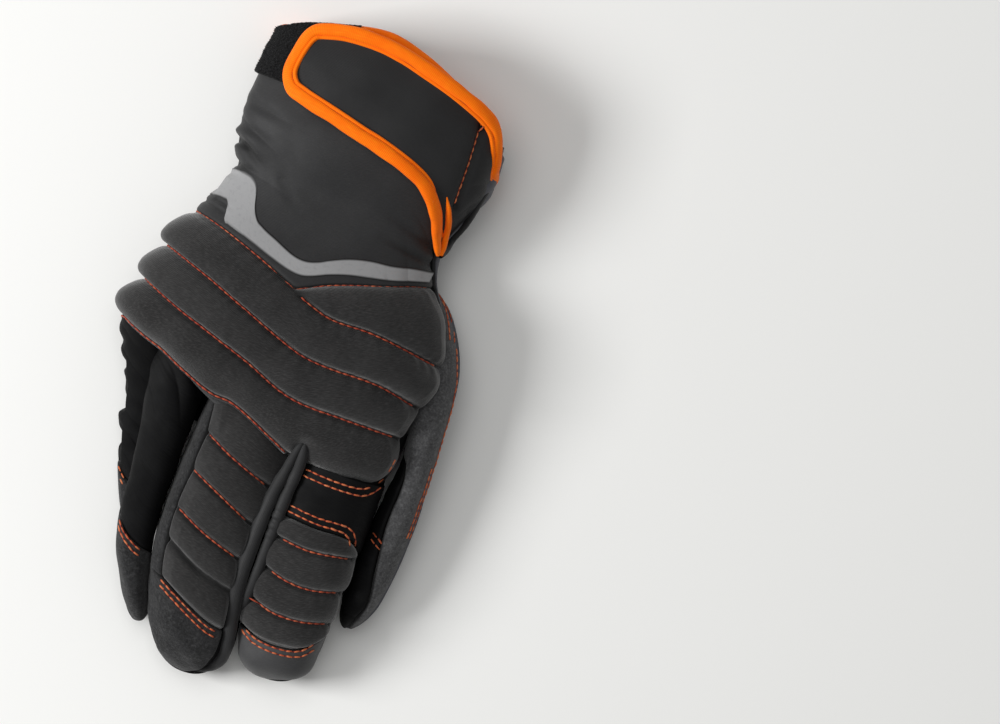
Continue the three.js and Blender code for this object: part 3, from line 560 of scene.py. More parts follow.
class Cloth:
    """A node material whose weave follows the cloth's own UV, in millimetres."""

    def __init__(self, name, colour, roughness, sheen=0.0, sheen_roughness=0.4, specular=0.3):
        self.material = bpy.data.materials.new(name)
        self.material.use_nodes = True
        self.tree = self.material.node_tree
        self.shader = self.tree.nodes["Principled BSDF"]
        self.material.diffuse_color = linear(*colour)
        self.shader.inputs["Sheen Weight"].default_value = sheen
        self.shader.inputs["Sheen Roughness"].default_value = sheen_roughness
        self.shader.inputs["Specular IOR Level"].default_value = specular
        self.shader.inputs["Roughness"].default_value = roughness
        self.cloth_uv = self.node("ShaderNodeUVMap").outputs[0]
        self.tree.nodes[-1].uv_map = "cloth"
        self.solid = self.node("ShaderNodeTexCoord").outputs["Object"]
        start = self.node("ShaderNodeRGB")
        start.outputs[0].default_value = linear(*colour)
        self.colour = start.outputs[0]
        self.normal = None

    def node(self, kind, **inputs):
        made = self.tree.nodes.new(kind)
        for name, value in inputs.items():
            self.put(value, made.inputs[name])
        return made

    def put(self, value, socket):
        if isinstance(value, bpy.types.NodeSocket):
            self.tree.links.new(value, socket)
        elif value is not None:
            socket.default_value = value

    def scaled(self, scale, space=None, turn=0.0):
        made = self.node("ShaderNodeMapping")
        made.vector_type = "TEXTURE" if turn else "POINT"
        self.put(space or self.cloth_uv, made.inputs["Vector"])
        made.inputs["Rotation"].default_value = (0, 0, turn)
        made.inputs["Scale"].default_value = [1 / s for s in scale] if turn else scale
        return made.outputs[0]

    def noise(self, scale, detail=2.0, space=None, roughness=0.5, turn=0.0):
        made = self.node("ShaderNodeTexNoise")
        self.put(self.scaled(scale, space, turn), made.inputs["Vector"])
        made.inputs["Scale"].default_value = 1.0
        made.inputs["Detail"].default_value = detail
        made.inputs["Roughness"].default_value = roughness
        return made.outputs["Fac"]

    def bands(self, axis, pitch, wobble):
        made = self.node("ShaderNodeTexWave")
        made.bands_direction = axis
        self.put(self.cloth_uv, made.inputs["Vector"])
        made.inputs["Scale"].default_value = WAVE_REPEAT / pitch
        made.inputs["Distortion"].default_value = wobble
        made.inputs["Detail"].default_value = 1.0
        made.inputs["Detail Scale"].default_value = 1.5
        return made.outputs["Fac"]

    def math(self, operation, a, b=None):
        made = self.node("ShaderNodeMath")
        made.operation = operation
        self.put(a, made.inputs[0])
        self.put(b, made.inputs[1])
        return made.outputs[0]

    def ramp(self, value, low, high, to_low=0.0, to_high=1.0):
        made = self.node("ShaderNodeMapRange", Value=value)
        for name, number in (("From Min", low), ("From Max", high), ("To Min", to_low), ("To Max", to_high)):
            made.inputs[name].default_value = number
        return made.outputs[0]

    def tint(self, factor, colour):
        """Mixes a colour in where the factor says."""
        made = self.node("ShaderNodeMix")
        made.data_type = "RGBA"
        self.put(factor, made.inputs[0])
        self.put(self.colour, made.inputs[6])
        self.put(linear(*colour) if not isinstance(colour, bpy.types.NodeSocket) else colour, made.inputs[7])
        self.colour = made.outputs[2]

    def mottle(self, field, low, high, amount, colour):
        """Mixes a colour in, more and more, as a field goes from low to high."""
        self.tint(self.ramp(field, low, high, 0, amount), colour)

    def bump(self, height, distance, strength=1.0):
        made = self.node("ShaderNodeBump", Height=height)
        made.inputs["Distance"].default_value = distance / 1000
        made.inputs["Strength"].default_value = strength
        self.put(self.normal, made.inputs["Normal"])
        self.normal = made.outputs[0]

    def rough(self, value, low, high):
        self.put(self.ramp(value, 0.3, 0.7, low, high), self.shader.inputs["Roughness"])

    def done(self, crease=(5, 5, 5), strength=0.95):
        # The crease attribute tints the colour: on cloth it is painted shade, darkening towards the crease
        # colour in seams, folds and beside stitches; on the stitches it says how red the thread is.
        painted_shade_and_thread_red_node = self.node("ShaderNodeAttribute")
        painted_shade_and_thread_red_node.attribute_name = "crease"
        self.tint(self.ramp(painted_shade_and_thread_red_node.outputs["Fac"], 0.05, 0.95, 0, strength), crease)
        self.put(self.colour, self.shader.inputs["Base Color"])
        self.put(self.normal, self.shader.inputs["Normal"])
        return self.material


def softshell(name, colour, light, dark, roughness, sheen, depth, streak, heather):
    """A tightly woven face cloth: fine threads across, thin streaks along them and a soft sheen."""
    cloth = Cloth(name, colour, roughness, sheen=sheen, sheen_roughness=0.45)
    weft = cloth.bands("Y", WEFT_PITCH, 0.35)
    warp = cloth.bands("X", 0.8 * WEFT_PITCH, 0.3)
    threads = cloth.math("ADD", weft, cloth.math("MULTIPLY", warp, 0.55))
    streaks = cloth.noise((0.22, 2.6, 1), 3)
    clouds = cloth.noise((55, 55, 55), 3, cloth.solid)
    cloth.mottle(streaks, 0.42, 0.72, streak, light)
    cloth.mottle(clouds, 0.35, 0.75, 0.55, dark)
    cloth.tint(cloth.ramp(threads, 0.15, 0.75, 0.32, 0), (10, 10, 11))
    yarn = cloth.noise((0.4, 3.0, 1), 2, turn=GRAIN, roughness=0.7)
    cloth.mottle(yarn, 0.5, 0.72, heather, light)
    cloth.mottle(yarn, 0.5, 0.28, heather, dark)
    cloth.bump(threads, depth)
    cloth.bump(yarn, depth * 2.5, 0.7)
    cloth.bump(cloth.noise((0.9, 0.9, 1), 3), depth * 1.5, 0.6)
    cloth.rough(clouds, roughness - 0.06, roughness + 0.07)
    return cloth.done()


def suede(name, colour, light, dark, pill=0.6):
    """Brushed microsuede: a mottled, matt face of short fibres, pilled where it is rubbed."""
    cloth = Cloth(name, colour, 0.95, sheen=0.12, sheen_roughness=0.6, specular=0.15)
    clouds = cloth.noise((160, 160, 160), 4, cloth.solid, 0.6)
    fibres = cloth.noise((1100, 1100, 1100), 3, cloth.solid, 0.65)
    pills = cloth.noise((620, 620, 620), 4, cloth.solid, 0.75)
    rubbed = cloth.noise((60, 60, 60), 2, cloth.solid)
    cloth.mottle(clouds, 0.38, 0.7, 0.4, light)
    cloth.mottle(rubbed, 0.4, 0.7, 0.5, dark)
    cloth.mottle(fibres, 0.45, 0.7, 0.6, light)
    cloth.mottle(fibres, 0.48, 0.25, 0.7, dark)
    cloth.mottle(pills, 0.54, 0.68, pill, [min(255, round(c * 1.25)) for c in light])
    cloth.mottle(pills, 0.46, 0.34, pill, [round(c * 0.7) for c in dark])
    cloth.bump(fibres, 0.3, 0.9)
    cloth.bump(pills, 0.7, pill)
    cloth.bump(clouds, 0.35, 0.5)
    cloth.rough(rubbed, 0.88, 1.0)
    return cloth.done()


def black_stretch():
    """Smooth knitted stretch cloth with fine pleats across the fingers."""
    cloth = Cloth("black_stretch_cloth", (9, 9, 10), 0.7, specular=0.12)
    knit = cloth.bands("X", 0.5, 0.5)
    pleats = cloth.noise((0.10, 0.9, 1), 3)
    clouds = cloth.noise((70, 70, 70), 3, cloth.solid)
    cloth.mottle(pleats, 0.4, 0.7, 0.5, (17, 17, 18))
    cloth.mottle(clouds, 0.35, 0.7, 0.6, (6, 6, 7))
    cloth.bump(knit, 0.04)
    cloth.bump(pleats, 0.25, 0.6)
    cloth.rough(clouds, 0.62, 0.78)
    return cloth.done()


def orange_tape():
    """Knitted elastic edge tape, with painted shade, a little darker, in its folds."""
    cloth = Cloth("orange_tape_knit", (255, 116, 2), 0.8, sheen=0.06, sheen_roughness=0.5, specular=0.1)
    ribs = cloth.bands("X", 0.75, 0.6)
    lengthwise = cloth.noise((0.25, 1.6, 1), 3)
    clouds = cloth.noise((90, 90, 90), 2, cloth.solid)
    cloth.mottle(lengthwise, 0.4, 0.72, 0.5, (255, 146, 8))
    cloth.mottle(clouds, 0.4, 0.7, 0.5, (246, 102, 2))
    cloth.tint(cloth.ramp(ribs, 0.1, 0.6, 0.3, 0), (222, 80, 0))
    cloth.bump(ribs, 0.06)
    cloth.bump(lengthwise, 0.12, 0.5)
    cloth.rough(clouds, 0.62, 0.78)
    # the crease colour: painted shade of a deeper orange in folds
    return cloth.done((190, 50, 4), 0.7)


def reflective_film():
    """Grey retroreflective film with a fine beaded grain and faint wear."""
    cloth = Cloth("reflective_beaded_film", (140, 140, 141), 0.6, specular=0.3)
    beads = cloth.noise((6.5, 6.5, 1), 2)
    wear = cloth.noise((0.35, 0.5, 1), 4)
    cloth.mottle(beads, 0.35, 0.7, 0.45, (158, 158, 159))
    cloth.mottle(wear, 0.52, 0.75, 0.4, (122, 122, 124))
    cloth.bump(beads, 0.03, 0.7)
    cloth.rough(wear, 0.42, 0.58)
    return cloth.done()


def loop_pile():
    """Black loops of touch tape: a deep, uneven pile."""
    cloth = Cloth("loop_pile_knit", (10, 10, 11), 0.95, sheen=0.06, sheen_roughness=0.6, specular=0.1)
    loops = cloth.noise((900, 900, 900), 4, cloth.solid, 0.8)
    cloth.mottle(loops, 0.5, 0.7, 0.55, (32, 32, 34))
    cloth.bump(loops, 0.7, 0.8)
    cloth.rough(loops, 0.85, 1.0)
    return cloth.done()


def webbing():
    """Narrow black webbing with ribs across it."""
    cloth = Cloth("black_webbing_rib", (22, 22, 23), 0.7, sheen=0.1)
    ribs = cloth.bands("Y", 1.1, 0.2)
    yarn = cloth.bands("X", 0.6, 0.3)
    cloth.tint(cloth.ramp(ribs, 0.2, 0.8, 0.5, 0), (8, 8, 8))
    cloth.mottle(yarn, 0.2, 0.9, 0.3, (44, 44, 46))
    cloth.bump(ribs, 0.2)
    cloth.bump(yarn, 0.06)
    cloth.rough(yarn, 0.6, 0.78)
    return cloth.done()


def thread(name, colour, dark, light, quilting):
    """Twisted sewing thread, redder along the quilting."""
    cloth = Cloth(name, colour, 0.65, sheen=0.05)
    twist = cloth.bands("DIAGONAL", 0.3, 0.2)
    shade = cloth.noise((260, 260, 260), 2, cloth.solid)
    cloth.mottle(shade, 0.42, 0.7, 0.8, light)
    cloth.mottle(shade, 0.45, 0.28, 0.8, dark)
    cloth.tint(cloth.ramp(twist, 0.0, 0.5, 0.5, 0), dark)
    cloth.bump(twist, 0.05)
    cloth.rough(shade, 0.5, 0.7)
    return cloth.done(*quilting)


QUILTED = softshell(
    "quilted_softshell_weave", (29, 28, 28), (57, 56, 56), (13, 12, 12), 0.8, 0.38, 0.05, 0.5, 0.75
)
SMOOTH = softshell(
    "smooth_softshell_weave", (36, 36, 37), (50, 50, 51), (27, 27, 28), 0.62, 0.1, 0.03, 0.3, 0.3
)
STRAP = softshell(
    "strap_softshell_weave", (26, 26, 27), (36, 36, 37), (20, 20, 21), 0.6, 0.05, 0.03, 0.3, 0.2
)
TIP_CLOTH = softshell(
    "fingertip_softshell_weave", (61, 61, 62), (77, 77, 78), (48, 48, 49), 0.62, 0.1, 0.03, 0.3, 0.3
)
SLATE = softshell(
    "slate_softshell_weave", (56, 57, 66), (68, 69, 78), (46, 47, 55), 0.6, 0.12, 0.03, 0.3, 0.3
)
BLACK = black_stretch()
SUEDE = suede("palm_suede_nap", (44, 44, 45), (66, 66, 67), (28, 28, 29), 0.45)
TIP_SUEDE = suede("pilled_suede_nap", (27, 27, 28), (48, 48, 49), (14, 14, 15), 0.75)
THUMB_SUEDE = suede("thumb_suede_nap", (66, 66, 67), (92, 92, 93), (46, 46, 47), 0.45)
ORANGE = orange_tape()
FILM = reflective_film()
PILE = loop_pile()
WEBBING = webbing()
THREAD = thread("orange_thread_twist", (198, 98, 54), (140, 50, 30), (218, 138, 92), ((150, 50, 33), 0.85))
THREAD_UNDER = thread("dark_red_thread", (138, 38, 22), (92, 22, 14), (160, 56, 32), ((104, 26, 18), 0.0))

# Camera, light and floor: the camera looks straight down, turned as the photograph is
TURN = math.radians(20)
CENTRE = (0.0868, 0.0266)
CAMERA_HEIGHT = 2.5
PICTURE_WIDTH = 0.43  # what the picture shows from side to side, at the middle of the glove's height
MIDDLE_HEIGHT = 0.03
SENSOR = 36
camera_data = bpy.data.cameras.new("camera")
camera_data.sensor_width = SENSOR
camera_data.lens = SENSOR * (CAMERA_HEIGHT - MIDDLE_HEIGHT) / PICTURE_WIDTH
camera = bpy.data.objects.new("camera", camera_data)
camera.location = (*CENTRE, CAMERA_HEIGHT)
camera.rotation_euler = (0, 0, TURN)
bpy.context.scene.collection.objects.link(camera)
bpy.context.scene.camera = camera
bpy.context.scene.view_settings.view_transform = "Standard"


def soft_light(name, across, up, height, size, power):
    """A square light aimed at the glove, placed by how far across and up the picture it is."""
    data = bpy.data.lights.new(name, "AREA")
    data.size = size
    data.energy = power
    light = bpy.data.objects.new(name, data)
    x = across * math.cos(TURN) - up * math.sin(TURN)
    y = across * math.sin(TURN) + up * math.cos(TURN)
    light.location = (x, y, height)
    aim = Vector((0.02, 0.0, 0.02)) - light.location
    light.rotation_euler = aim.to_track_quat("-Z", "Y").to_euler()
    bpy.context.scene.collection.objects.link(light)


soft_light("key", -1.5, 0.12, 1.15, 0.7, 31.3)
soft_light("fill", -0.2, 0.55, 1.8, 1.2, 8.0)
world = bpy.data.worlds.new("studio")
world.use_nodes = True
world.node_tree.nodes["Background"].inputs[0].default_value = (1.0, 1.0, 0.995, 1)
world.node_tree.nodes["Background"].inputs[1].default_value = 0.33
bpy.context.scene.world = world

floor_mesh = bpy.data.meshes.new("floor")
floor_mesh.from_pydata([(-3, -3, 0), (3, -3, 0), (3, 3, 0), (-3, 3, 0)], [], [(0, 1, 2, 3)])
floor = bpy.data.objects.new("floor", floor_mesh)
paper = Cloth("paper", (240, 240, 238), 0.9, specular=0.2)
paper.bump(paper.noise((400, 400, 400), 2, paper.solid), 0.02)
floor_mesh.materials.append(paper.done())
bpy.context.scene.collection.objects.link(floor)


# Relief of each region
def puff(distance, width, power):
    """A quilted channel's rise with the distance from its stitch line, from 0 at the line to 1."""
    t = np.clip(distance / width, 0, 1)
    return np.maximum(0, 1 - (1 - t) ** power) ** (1 / power)


def ribs(grid, lines, rise, fade=12.0, border=None):
    """Raises the cloth between stitch lines, steeper on each rib's side towards the fingers, and paints shade
    on that side and under the line above.

    Ribs narrower than fade are lower. A border says how far in from each side they reach full height.
    """
    height = np.zeros_like(grid.x)
    for above, below in zip(lines[:-1], lines[1:]):
        high, low = above(grid.x), below(grid.x)
        width = np.maximum(high - low, 0.01)
        inside = (grid.y <= high) & (grid.y > low)
        upper_side = puff(high - grid.y - RIB_FLANGE * 0.5, 0.5 * width, 1.45)
        shape = upper_side * puff(grid.y - low - RIB_FLANGE, 0.32 * width, 1.9)
        rib = rise * np.clip(width / fade, 0, 1) * shape
        height = np.where(inside, rib, height)
        grid.lean += np.where(inside, RIB_LEAN * rib * (1 - (grid.y - low) / width), 0)
        # painted shade: dark on the rib's steep low side, and in a thin band under the line above
        shade = 0.8 * np.exp(-((np.maximum(grid.y - low - 0.6, 0) / 2.4) ** 1.6))
        shade += 0.6 * bell(np.maximum(high - grid.y - 0.4, 0), 1.3)
        grid.crease = np.maximum(grid.crease, np.where(inside, shade, 0))
    if border:
        height *= (np.clip(grid.d_left / border[0], 0, 1) * np.clip(grid.d_right / border[1], 0, 1)) ** 0.7
    else:
        height *= np.sqrt(np.clip(grid.d_right / 9, 0, 1)) * (1 + 0.25 * smooth(grid.angle, 2.4, 3.1))
    grid.push += height
    return grid


# Each sharp fold beside the waist: from, to, depth, half-width
CUFF_VALLEYS = [
    ((-63, 77), (-51, 74.5), 2.2, 1.5), ((-60, 68.4), (-47, 65.2), 2.8, 1.5),
    ((-62, 84), (-42, 79), 1.1, 2.2), ((-58.5, 77.5), (-44, 68.6), 3.3, 2.0),
    ((-61, 62.4), (-52, 61.6), 1.0, 1.4), ((-60, 93), (-38, 90), 0.8, 2.4),
    ((-34, 66), (-24, 58), 0.7, 2.5), ((-66, 48), (-50, 44), 1.2, 1.2),
    ((-58, 49), (-50, 47.6), 1.0, 1.0), ((39, 54), (14, 58), 1.5, 1.8),
    ((38, 61), (10, 69), 1.1, 2.2),
]


def cuff_valleys(points):
    """Each sharp fold's depth, and every point's distance from it in half-widths and place along it."""
    for start, stop, depth, width in CUFF_VALLEYS:
        a, b = np.array(start, float), np.array(stop, float)
        along = np.clip((points[..., :2] - a) @ (b - a) / np.sum((b - a) ** 2), 0, 1)
        far = np.linalg.norm(points[..., :2] - a - along[..., None] * (b - a), axis=-1)
        yield depth, far / width, along


def cuff_shade(points):
    """Painted shade in the depths of the sharp folds."""
    shades = [0.3 * depth * bell(far, 1) * (1 - along**2) for depth, far, along in cuff_valleys(points)]
    return np.max(shades, 0)


def cuff_relief(points):
    """Soft folds of the cuff: broad dents, and creases that fan out from the waist at both sides."""
    x, y = points[..., 0], points[..., 1]
    broad = 0.9 * waves(points, 38, 11) + 0.35 * waves(points, 17, 12)
    side = smooth(-x, 18, 55) * smooth(y, 44, 62) * (1 - smooth(y, 84, 104))
    crease = folds(points, (0.35, 1.0, 0.25), 13, 21) - 0.6
    thumb_side = smooth(x, 18, 40) * (1 - smooth(y, 66, 84))
    crease_thumb = folds(points, (0.8, 0.7, 0.1), 10, 31) - 0.6
    total = broad + 2.0 * side * crease + 1.6 * thumb_side * crease_thumb
    for depth, far, along in cuff_valleys(points):
        total = total + depth * (0.55 * bell(far, 2.6) - bell(far, 1)) * (1 - 0.9 * along**1.6)
    return total


def creased_side(grid, outline):
    """Pushes a tube's left side in or out to an outline with creases."""
    return (grid.tube.left(grid.y) - outline(grid.y)) * smooth(-np.cos(grid.angle), 0.72, 0.97)


# The skin beneath the panels
WHOLE_ROUND = (level(-PI / 2), level(1.5 * PI))  # a patch's two sides, which meet under the middle
ROUND_LEFT = level(PI + 0.35)  # a side tucked under a finger's left edge


def hand_skin():
    """The palm's suede, as the whole body of the hand: it shows underneath and low on the sides."""
    around = between(hand, curve(MOUTH), knuckles, *WHOLE_ROUND, 170, 150)
    under = np.sin(around.angle) < 0
    drop = smooth(np.sin(around.angle), -0.6, 0.5)
    start = 78  # beyond this the underside is stretched, to end at its own mouth line
    reach = (mouth_under(around.x) - start - 2) / (mouth_line(around.x) - start)
    stretched = lerp(start + (around.y - start) * reach, around.y, drop)
    around.y = np.where(around.y > start, stretched, around.y)
    around.base = hand.point(around.y, around.angle)
    around.push += np.where(under, -0.1, UNDER) + 0.25 * waves(around.base, 14, 3)
    at_wrist = (around.y > 55) & (around.y < 110)
    wrinkles = np.where(at_wrist, folds(around.base, (1, 0.15, 0), 6.5, 5) - 0.4, 0)
    around.push += wrinkles * smooth(-np.sin(around.angle), -0.1, 0.35)
    body = around.points()
    curl = []
    for turn in np.linspace(0, PI / 2, 9)[1:]:
        last_y = around.y[-1] - 5 * math.sin(turn)
        curl.append(hand.point(last_y, around.angle[-1], UNDER - 11 * (1 - math.cos(turn))))
    end = np.stack(curl)
    whole = np.concatenate([body, end])
    extra = around.uv[-1:] + np.arange(1, 9)[:, None, None] * np.array([0, 1.5])
    return whole, np.concatenate([around.uv, extra]), False


def finger_skin(tube, start, seed, dent=None):
    """A finger's body in black stretch cloth: its front and the strips between the fingers."""
    grid = between(tube, level(start), level(tube.end), *WHOLE_ROUND, 120, 64, dense_end=True)
    sine = np.sin(grid.angle)
    on_flank = 1 - smooth(np.abs(sine), 0.45, 0.85)
    grid.push += np.where(sine > 0, UNDER, -0.1) + 0.75 * on_flank
    grid.push += 0.5 * (folds(grid.base, (0.25, 1, 0.1), 5.5, seed) - 0.5) * smooth(-sine, 0.1, 0.5)
    grid.push += 0.25 * waves(grid.base, 12, seed + 3)
    if dent:
        grid.push += creased_side(grid, dent) - 0.8 * on_flank * smooth(-np.cos(grid.angle), 0, 0.5)
    return as_part(grid)


dress("palm_side_suede", [hand_skin()], SUEDE, "palm_panel")
fronts = [
    finger_skin(index, -18, 41), finger_skin(middle, -14, 42), finger_skin(ring, -8, 43),
    finger_skin(pinky, 2, 44, curve(PINKY_EDGE)),
]
palm_end = curve([
    (-76.7, -10.3), (-61.2, -12.1), (-52.4, -15.2), (-43.6, -16.1), (-23.8, -13), (-12.7, -16.1),
    (-7.4, -14.7), (8.4, 4.8), (22.5, 4.8), (36, -3), (51, -14),
])
front_of_hand = between(hand, palm_end, level(-44), level(-PI + 0.35), level(-0.25), 60, 110)
front_of_hand.push += 0.5 + 0.4 * folds(front_of_hand.base, (0.3, 1, 0), 6, 61)
front_of_hand.seams("top left", 1.0, 2.0)
index_side = between(hand, level(-18), level(-47), level(0.9), level(-0.3), 40, 34)
index_side.push += -0.5 + 0.3 * waves(index_side.base, 10, 62)
dress("finger_front_stretch", [*fronts, front_of_hand, index_side], BLACK, "finger_front")

# Back of the hand
pad = between(hand, chevron, lambda x: knuckles(x) - 1.1, level(PI + 0.42), edge(hand, pad_right), 200, 280)
pad_lines = [shoulder, second, third, knuckles]
ribs(pad, [chevron, *pad_lines], RIB)
pad_seams = [sew(line_on(hand, chevron, PI + 0.35, hand.angle(42.5, 44.5)), 0.6)]
pad_seams.append(sew(line_over(hand, shoulder, -9, 55.3), 0.8))
pad_seams += [sew(line_on(hand, line, PI + 0.3, 0.42), 0.9) for line in (second, third)]
pucker(pad, pad_seams, 100, 0.45 * lerp(0.2, 1, smooth(pad.x, -64, -36)))
pad.push += 0.28 * waves(pad.base, 9, 71) + 0.25 * waves(pad.base, 22, 72)
pad.push += 0.6
pad.push -= 5.0 * bell(pad.x - 13, 4.4) * smooth(-pad.y, 31.5, 38.5)
sew(line_on(hand, knuckles, PI + 0.3, hand.angle(7.5, -43)), 0.9)
pad.seams("top right", 2.2, 3.0).seams("low", 0.9, 0.9).seams("left", 1.6, 2.5)
dress("back_pad_quilt", [pad], QUILTED, "back_pad")

# Back of the cuff
cuff_right = curve([(135, 50), (105, 45), (90, 42), (75, 38.5), (57, 38.2), (44.5, 43)])
cuff = between(hand, lambda x: mouth_line(x) - 5, chevron, level(PI + 0.42), edge(hand, cuff_right), 160, 200)
cuff.push += 0.5 + cuff_relief(cuff.base)
# painted shade in the depths of the cuff's sharp folds
cuff.crease = cuff_shade(cuff.base)
cuff.seams("low right", 1.8, 2.4).seams("left", 1.4, 2.2)
dress("cuff_back_softshell", [cuff], SMOOTH, "cuff_back")

stripe_top, stripe_low = curve(STRIPE_TOP), curve(STRIPE_LOW)
stripe = over(hand, stripe_top, stripe_low, -64, 40.2, 30, 320)
stripe.push += 0.95 + cuff_relief(stripe.base)
stripe.seams("top low right", 0.6, 0.7)
dress("reflective_stripe_film", [stripe], FILM, "reflective_stripe", snap=False)

# Fingers
TIP_SEAMS = [("top", 0.8, 1.0), ("left right", 1.6, 2.2)]
STRETCH_SEAMS = [("low left right", 1.5, 2.2)]
index_lines, middle_lines, ring_lines, pinky_lines = (
    [curve(p) for p in lines] for lines in (INDEX_LINES, MIDDLE_LINES, RING_LINES, PINKY_LINES)
)

index_left = curve([(-44, 16.2), (-68, 14.8), (-80, 13.8), (-100, 12.8), (-118, 12.9), (-138, 14.5)])
panel("index_knuckle_stretch", BLACK, "index_knuckle",
      between(index, index_lines[0], index_lines[1], edge(index, index_left), level(-0.1), 60, 110),
      0.9, [(0.2, 8, 82)], [(0.5, (0.1, 1, 0), 9, 81)], STRETCH_SEAMS)

index_pad = between(index, index_lines[1], index_lines[5], edge(index, index_left), level(0.05), 130, 130)
ribs(index_pad, index_lines[1:], FINGER_RIB, 8.0, border=(3.5, 8))
index_seams = [sew(line_over(index, line, 16, 48.8), 0.7) for line in index_lines[2:5]]
pucker(index_pad, index_seams, 110, 0.35, 3.5)
panel("index_back_quilt", QUILTED, "index_back", index_pad, 0.5, [(0.2, 8, 83)],
      seams=[("top low", 2.0, 2.2), ("left right", 1.8, 1.8)])

panel("index_tip_softshell", TIP_CLOTH, "index_tip",
      between(index, index_lines[5], level(index.end), ROUND_LEFT, level(-0.35), 80, 110, dense_end=True),
      0.5, [(0.9, 15, 84), (0.3, 7, 85)], seams=TIP_SEAMS)

middle_left = curve([(-29, -29.5), (-38, -28), (-60, -28), (-80, -29), (-97, -28), (-112, -25)])
middle_right = curve(
    [(-40, 9), (-60, 6), (-80, 4.6), (-100, 5), (-112, 6), (-124, 7.5), (-133, 9), (-141, 9), (-147, 8)]
)
middle_pad = between(
    middle, middle_lines[0], middle_lines[5], edge(middle, middle_left), edge(middle, middle_right), 170,
    120
)
ribs(middle_pad, middle_lines, FINGER_RIB, 8.0, border=(8, 3.5))
middle_seams = [sew(line_over(middle, line, -27.5, 3.6), 0.7) for line in middle_lines[1:4]]
pucker(middle_pad, middle_seams, 120, 0.35, 3.5)
# A deep fold across the middle finger's left half, with painted shade in it
fold_far = np.abs(middle_pad.y - middle_lines[4](middle_pad.x))
fold_depth = bell(fold_far, 1.6) * (1 - smooth(middle_pad.x, -14, -2))
middle_pad.push -= 1.3 * fold_depth
middle_pad.crease = np.maximum(middle_pad.crease, 0.9 * fold_depth)
panel("middle_back_quilt", QUILTED, "middle_back", middle_pad, 0.5, [(0.2, 8, 86)],
      seams=[("low", 2.0, 2.2), ("left right", 1.8, 1.8)])
panel(
    "middle_side_suede", TIP_SUEDE, "middle_side",
    between(
        middle, level(-24), level(float(middle_lines[5](-25))), ROUND_LEFT,
        edge(middle, middle_left), 150, 40
    ), 0.5, [(0.3, 9, 87)], seams=[("right low left", 1.6, 2.2)]
)
panel(
    "middle_tip_suede", TIP_SUEDE, "middle_tip",
    between(
        middle, middle_lines[5], level(middle.end), ROUND_LEFT, edge(middle, middle_right), 100, 110,
        dense_end=True
    ), 0.6, [(0.5, 9, 88), (0.25, 4, 89)], seams=TIP_SEAMS
)


def hairpin():
    """The strip between the middle and the index finger, rolled up beside the gap like a hairpin."""
    left_arm = [
        (6.3, -143), (9.4, -139.5), (11.1, -134), (10.6, -126), (8.8, -116), (7.1, -102), (6.9, -82),
        (7.7, -64), (9.1, -54), (10.1, -48), (11.3, -41),
    ]
    right_arm = [
        (14.5, -41.5), (14.6, -47), (14.0, -56), (13.5, -64), (13.3, -79), (12.9, -99), (12.4, -108),
        (11.6, -118),
    ]
    path = spline([(0.5, -145.4), *left_arm, (12.5, -36.4), (13.7, -37), *right_arm], 0.8)
    x, y = path[:, 0], path[:, 1]
    on_left = np.arange(len(path)) < np.argmax(y)
    shelf = curve(
        [
            (-34, 46.2), (-38, 46), (-42, 44.8), (-46, 43), (-52, 41), (-64, 38.8), (-80, 36),
            (-98, 32.2), (-112, 27.6), (-124, 22.4), (-134, 17), (-141, 12.6), (-146, 9.5), (-150, 8),
        ]
    )
    sunk = np.where(on_left, 0.0, 0.3 + 3.5 * smooth(-y, 104, 119))
    centre = np.column_stack([x, y, shelf(y) - sunk])
    left_width = curve(
        [
            (-36, 1.1), (-42, 1.7), (-48, 2.1), (-56, 2.6), (-64, 2.9), (-82, 3.2), (-103, 3.2),
            (-125, 3.0), (-140, 2.3), (-146, 0.8),
        ]
    )
    right_width = curve(
        [
            (-36, 1.1), (-40, 1.9), (-46, 2.6), (-60, 2.6), (-80, 2.7), (-100, 2.3), (-112, 1.7),
            (-119, 0.8),
        ]
    )
    width = np.where(on_left, left_width(y), right_width(y))
    place_along = np.column_stack([y, 40 * on_left, 0 * y])
    pinch = sum(
        depth * bell(y + at, 1.0) for at, depth in ((67.5, 0.25), (71.5, 0.45), (76, 0.35), (80, 0.2))
    )
    width = width + waves(place_along, 5, 180) * 0.18 + waves(place_along, 2.2, 181) * 0.1
    width = width - np.where(on_left, 0, pinch)
    up = np.tile([0.0, 0.0, 1.0], (len(path), 1))
    return sweep(centre, up, width, width * 1.1 - np.where(on_left, 0, pinch), 18, 2.2)


dress("fourchette_roll", [hairpin()], SMOOTH)

ring_pad = between(ring, ring_lines[0], ring_lines[1], level(PI + 0.3), level(-0.2), 150, 100)
ring_pad.push += 1.5 * (folds(ring_pad.base, (1, 0.5, 0.1), 9, 133) - 0.5) * smooth(ring_pad.y, -52, -28)
panel(
    "ring_back_stretch", BLACK, "ring_back", ring_pad, 0.3, [(0.3, 8, 91)],
    [(0.5, (0.4, 1, 0.2), 12, 90)], STRETCH_SEAMS
)
panel("ring_tip_suede", TIP_SUEDE, "ring_tip",
      between(ring, ring_lines[1], level(ring.end), ROUND_LEFT, level(-0.3), 110, 100, dense_end=True),
      0.6, [(0.6, 10, 92), (0.25, 4.5, 93)], seams=TIP_SEAMS)

